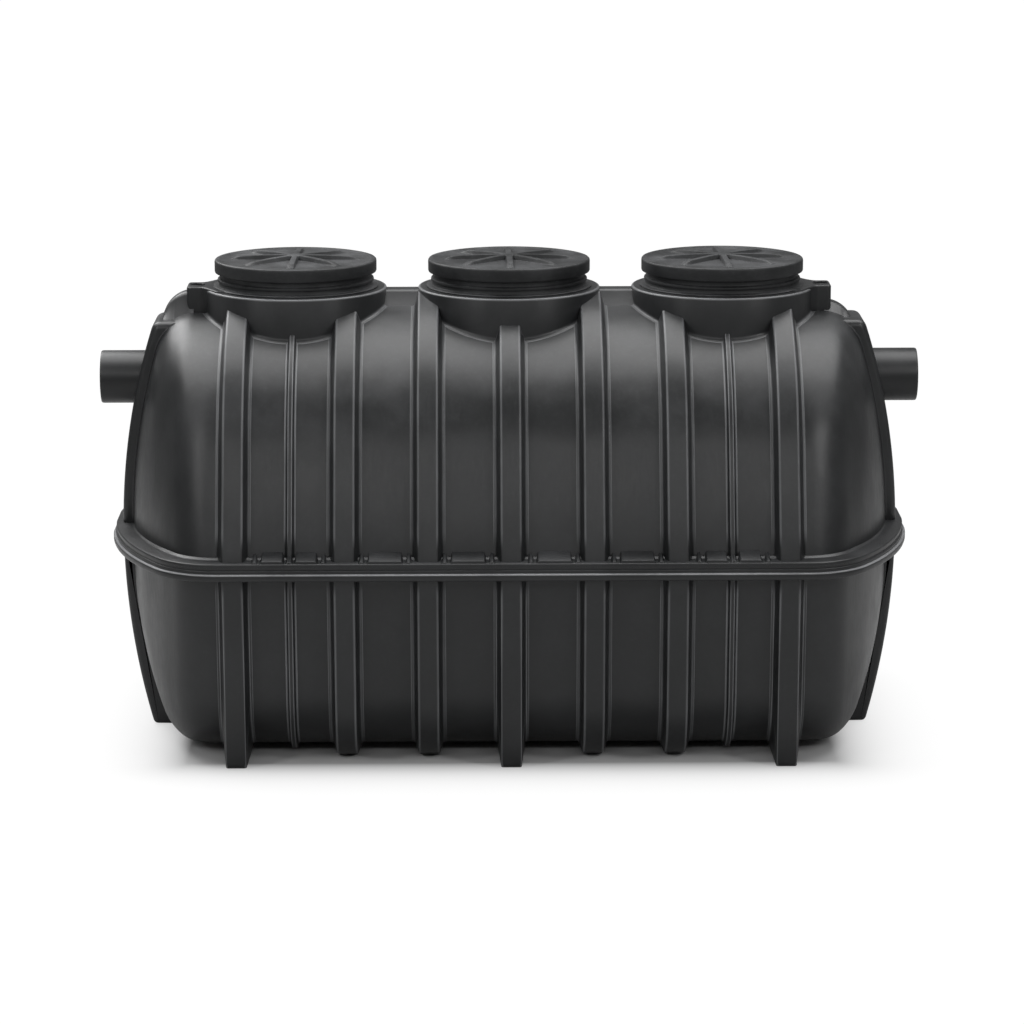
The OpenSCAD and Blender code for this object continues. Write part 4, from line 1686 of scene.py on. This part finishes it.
    def _shoulder(self, side: End, height: float) -> None:
        """Builds one arched rib from the lug down to the end rib's flat top.

        Args:
            side: Which end.
            height: How far it stands over the domed end.
        """
        form, r = self.form, self.shoulder_r
        nose, rib_top = form.turret_x + form.lug_reach, form.end_rib_top_z
        centre = np.array([nose - self.shoulder_set, form.parting_z + form.end_crown_h + height - r])
        arc = []
        for t in np.linspace(*np.radians(self.shoulder_arc), self.shoulder_steps):
            x, z = centre + r * np.array([math.cos(t), math.sin(t)])
            if x >= nose and z >= rib_top - 0.5:
                arc.append((x, z))
        under = rib_top - 6
        start, tip, crest = nose - self.shoulder_root, arc[-1][0], arc[0][1]
        arc = [(start, crest), (nose, crest), *arc, (tip, under)]
        back = [(x, form.top_z(x, 0.0) - 5.0) for x in np.linspace(tip, start, 16)]
        back[0] = (tip, min(back[0][1], under))
        wide = self.shoulder_w / 2
        flank = ((wide + self.skirt, 0.0), (wide + self.skirt - 4, 0.06), (wide + 2, 0.84),
                 (wide - 2, 0.95), (wide - 8, 1.0))
        rows = []
        for y, share in flank:
            ring = []
            for x, z in arc:
                base = max(form.top_z(x, y), rib_top if x > nose + 4 else 0.0) - 3.0
                ring.append((side.value * x, y, base + max(0.0, z - base) * share))
            ring += [(side.value * x, y, min(z, form.top_z(x, y)) - 9.0) for x, z in back]
            rows.append(ring)
        rows += [[(x, -y, z) for x, y, z in ring] for ring in rows][::-1]
        self.shop.make(Piece(f"shoulder_rib_{side.label}", crease=50), Surface().solid(rows))


@dataclass
class Spigots:
    """Drain pipe stubs through both ends."""

    form: BodyForm
    shop: Workshop
    r: float = 55.0
    wall: float = 3.2
    mouth_x: float = 850.0
    inner_x: float = 715.0
    steps: int = 112

    def build(self) -> None:
        """Builds both stubs."""
        r, bore, mouth, z = self.r, self.r - self.wall, self.mouth_x, self.form.pipe_z
        profile = [(self.inner_x, bore), (self.inner_x, r), (mouth - 4.0, r), (mouth - 1.2, r - 0.5),
                   (mouth, r - 1.3), (mouth, bore + 0.6), (mouth - 0.6, bore)]
        for side in End:
            rows = [[(side.value * x, pr * math.cos(t), z + pr * math.sin(t)) for x, pr in profile]
                    for t in np.linspace(0, TURN, self.steps, endpoint=False)]
            self.shop.make(Piece(f"{side.label}_pipe", PIPE, "extrusion", crease=30), Surface().ring(rows))


# ---------------------------------------------------------------- studio


@dataclass(frozen=True)
class Softbox:
    """An area light that looks at a point.

    Attributes:
        name: Light's name.
        place: Position in metres.
        aim: Point that it faces.
        size: Width and height in metres.
        watts: Power.
    """

    name: str
    place: tuple
    aim: tuple
    size: tuple
    watts: float

    def build(self) -> None:
        """Adds the light."""
        data = bpy.data.lights.new(self.name, "AREA")
        data.shape, data.energy = "RECTANGLE", self.watts
        data.size, data.size_y = self.size
        lamp = bpy.data.objects.new(self.name, data)
        lamp.location = self.place
        lamp.rotation_euler = (Vector(self.aim) - Vector(self.place)).to_track_quat("-Z", "Y").to_euler()
        bpy.context.scene.collection.objects.link(lamp)


@dataclass(frozen=True)
class Studio:
    """White surroundings, a floor that keeps the tank's shadow, soft lights and the camera.

    Angles are in degrees, and lengths in metres but for the lens and sensor, in millimetres.
    """

    camera_place: tuple = (-0.0665, -8.0, 2.1618)
    camera_pitch: float = 77.85
    camera_yaw: float = -0.515
    camera_roll: float = -0.10
    lens: float = 136.6
    sensor: float = 36.0
    clip_end: float = 100.0
    boxes: tuple = (
        Softbox("overhead", (0.0, 0.45, 3.4), (0.0, 0.45, 0.6), (6.0, 2.4), 178.0),
        Softbox("front_high", (0.0, -6.5, 3.6), (0.0, 0.0, 0.6), (6.4, 0.8), 72.0),
        Softbox("left_rear", (-1.7, 1.3, 2.3), (-0.6, 0.0, 0.8), (1.2, 1.2), 26.0),
        Softbox("left_key", (-2.8, -2.7, 2.5), (-0.5, 0.0, 0.7), (0.7, 1.6), 21.0),
        Softbox("right_key", (2.8, -2.7, 2.5), (0.5, 0.0, 0.7), (0.7, 1.6), 25.0),
    )
    # The world's strength as a light, and how much of the white a glossy ray sees
    world_light: float = 0.13
    glossy_share: float = 0.08
    floor_half: float = 30.0
    floor_rough: float = 0.9
    # The floor's grey under the tank, to the camera and to the other rays
    floor_seen: str = "#dddddd"
    floor_bounce: str = "#b8b8b8"
    # Half length and width of the shadow's core, and how soon the floor turns white beyond it
    shadow_half: tuple = (0.66, 0.38, 0.0)
    shadow_fade: float = 0.078

    def build(self) -> None:
        """Sets the world, floor, lights and camera."""
        scene = bpy.context.scene
        scene.view_settings.view_transform = "Standard"
        self._world(scene)
        self._floor()
        for box in self.boxes:
            box.build()
        self._camera(scene)

    def _camera(self, scene: bpy.types.Scene) -> None:
        """Places the camera.

        Args:
            scene: The scene that it looks at.
        """
        data = bpy.data.cameras.new("camera")
        data.lens, data.sensor_width, data.clip_end = self.lens, self.sensor, self.clip_end
        camera = bpy.data.objects.new("camera", data)
        camera.location = self.camera_place
        pitch, yaw, roll = (math.radians(a) for a in (self.camera_pitch, self.camera_yaw, self.camera_roll))
        aim = Euler((pitch, 0.0, yaw), "XYZ").to_matrix()
        camera.rotation_euler = (aim @ Matrix.Rotation(roll, 3, "Z")).to_euler("XYZ")
        scene.collection.objects.link(camera)
        scene.camera = camera

    def _surround(self, net: NodeNet) -> bpy.types.NodeSocket:
        """How far a ray sees the white surroundings.

        Args:
            net: The tree to add to.

        Returns:
            1 for the camera's and transmission rays, and a small share for glossy ones.
        """
        clear = net.add("Math", (net.add("LightPath", out="Is Camera Ray"),
                                 net.add("LightPath", out="Is Transmission Ray")), operation="MAXIMUM")
        glossy = net.add("Math", (net.add("LightPath", out="Is Glossy Ray"), self.glossy_share),
                         operation="MULTIPLY")
        return net.add("Math", (clear, glossy), operation="MAXIMUM")

    def _world(self, scene: bpy.types.Scene) -> None:
        """Makes the world white to the camera and dimmer as a light.

        Args:
            scene: The scene that it surrounds.
        """
        world = bpy.data.worlds.new("white_sweep")
        world.use_nodes = True
        net = NodeNet(world.node_tree)
        strength = net.add("Math", (self._surround(net), 1.0 - self.world_light, self.world_light),
                           operation="MULTIPLY_ADD")
        net.feed(net.shader.inputs["Color"], linear("#ffffff"))
        net.feed(net.shader.inputs["Strength"], strength)
        scene.world = world

    def _floor(self) -> None:
        """Adds a large matt white floor, which runs out to the white surroundings."""
        mesh = bpy.data.meshes.new("floor")
        s = self.floor_half
        mesh.from_pydata([(-s, -s, 0), (s, -s, 0), (s, s, 0), (-s, s, 0)], [], [(0, 1, 2, 3)])
        floor = bpy.data.objects.new("floor", mesh)
        bpy.context.scene.collection.objects.link(floor)
        mesh.materials.append(self._floor_paint())

    def _floor_paint(self) -> bpy.types.Material:
        """The floor's matt white, which fades from the tank's shadow to pure white.

        Returns:
            The material.
        """
        paint = bpy.data.materials.new("matt_white_floor")
        paint.use_nodes = True
        net = NodeNet(paint.node_tree)
        # The distance outside the shadow's core, alike on all four sides
        spot = net.add("NewGeometry", out="Position")
        spot = net.add("VectorMath", (spot,), operation="ABSOLUTE")
        spot = net.add("VectorMath", (spot, self.shadow_half), operation="SUBTRACT")
        spot = net.add("VectorMath", (spot,), operation="MAXIMUM")
        distance = net.add("VectorMath", (spot,), out="Value", operation="LENGTH")
        power = net.add("Math", (distance, -1 / self.shadow_fade), operation="MULTIPLY")
        shade = net.add("Math", (math.e, power), operation="POWER")
        reached = net.add("Math", (1.0, shade), operation="SUBTRACT")
        white = net.add("Math", (reached, self._surround(net)), operation="MULTIPLY")
        look = net.add("Mix", {MIX_FACTOR: white, MIX_A: linear(self.floor_seen), MIX_B: linear("#000000")},
                       out=MIX_RESULT, data_type="RGBA")
        camera_ray = net.add("LightPath", out="Is Camera Ray")
        base = net.add("Mix", {MIX_FACTOR: camera_ray, MIX_A: linear(self.floor_bounce), MIX_B: look},
                       out=MIX_RESULT, data_type="RGBA")
        for name, source in {"Base Color": base, "Roughness": self.floor_rough, "Emission Strength": white,
                             "Emission Color": linear("#ffffff")}.items():
            net.feed(net.shader.inputs[name], source)
        return paint


# ---------------------------------------------------------------- whole model


def main() -> None:
    """Builds every sub-assembly, then the studio, and reports each piece."""
    logging.basicConfig(level=logging.INFO, format="%(name)s: %(message)s")
    form, shop = BodyForm(), Workshop()
    for assembly in (HalfShells, HoopRibs, Flange, EndRibs, Turrets, LugsAndRails, Spigots):
        before = len(shop.made)
        assembly(form, shop).build()
        for piece in shop.made[before:]:
            LOG.info("%s: %s, %d faces", assembly.__name__, piece.name, len(piece.data.polygons))
    shop.put_away()
    Studio().build()


if __name__ == "__main__":
    main()
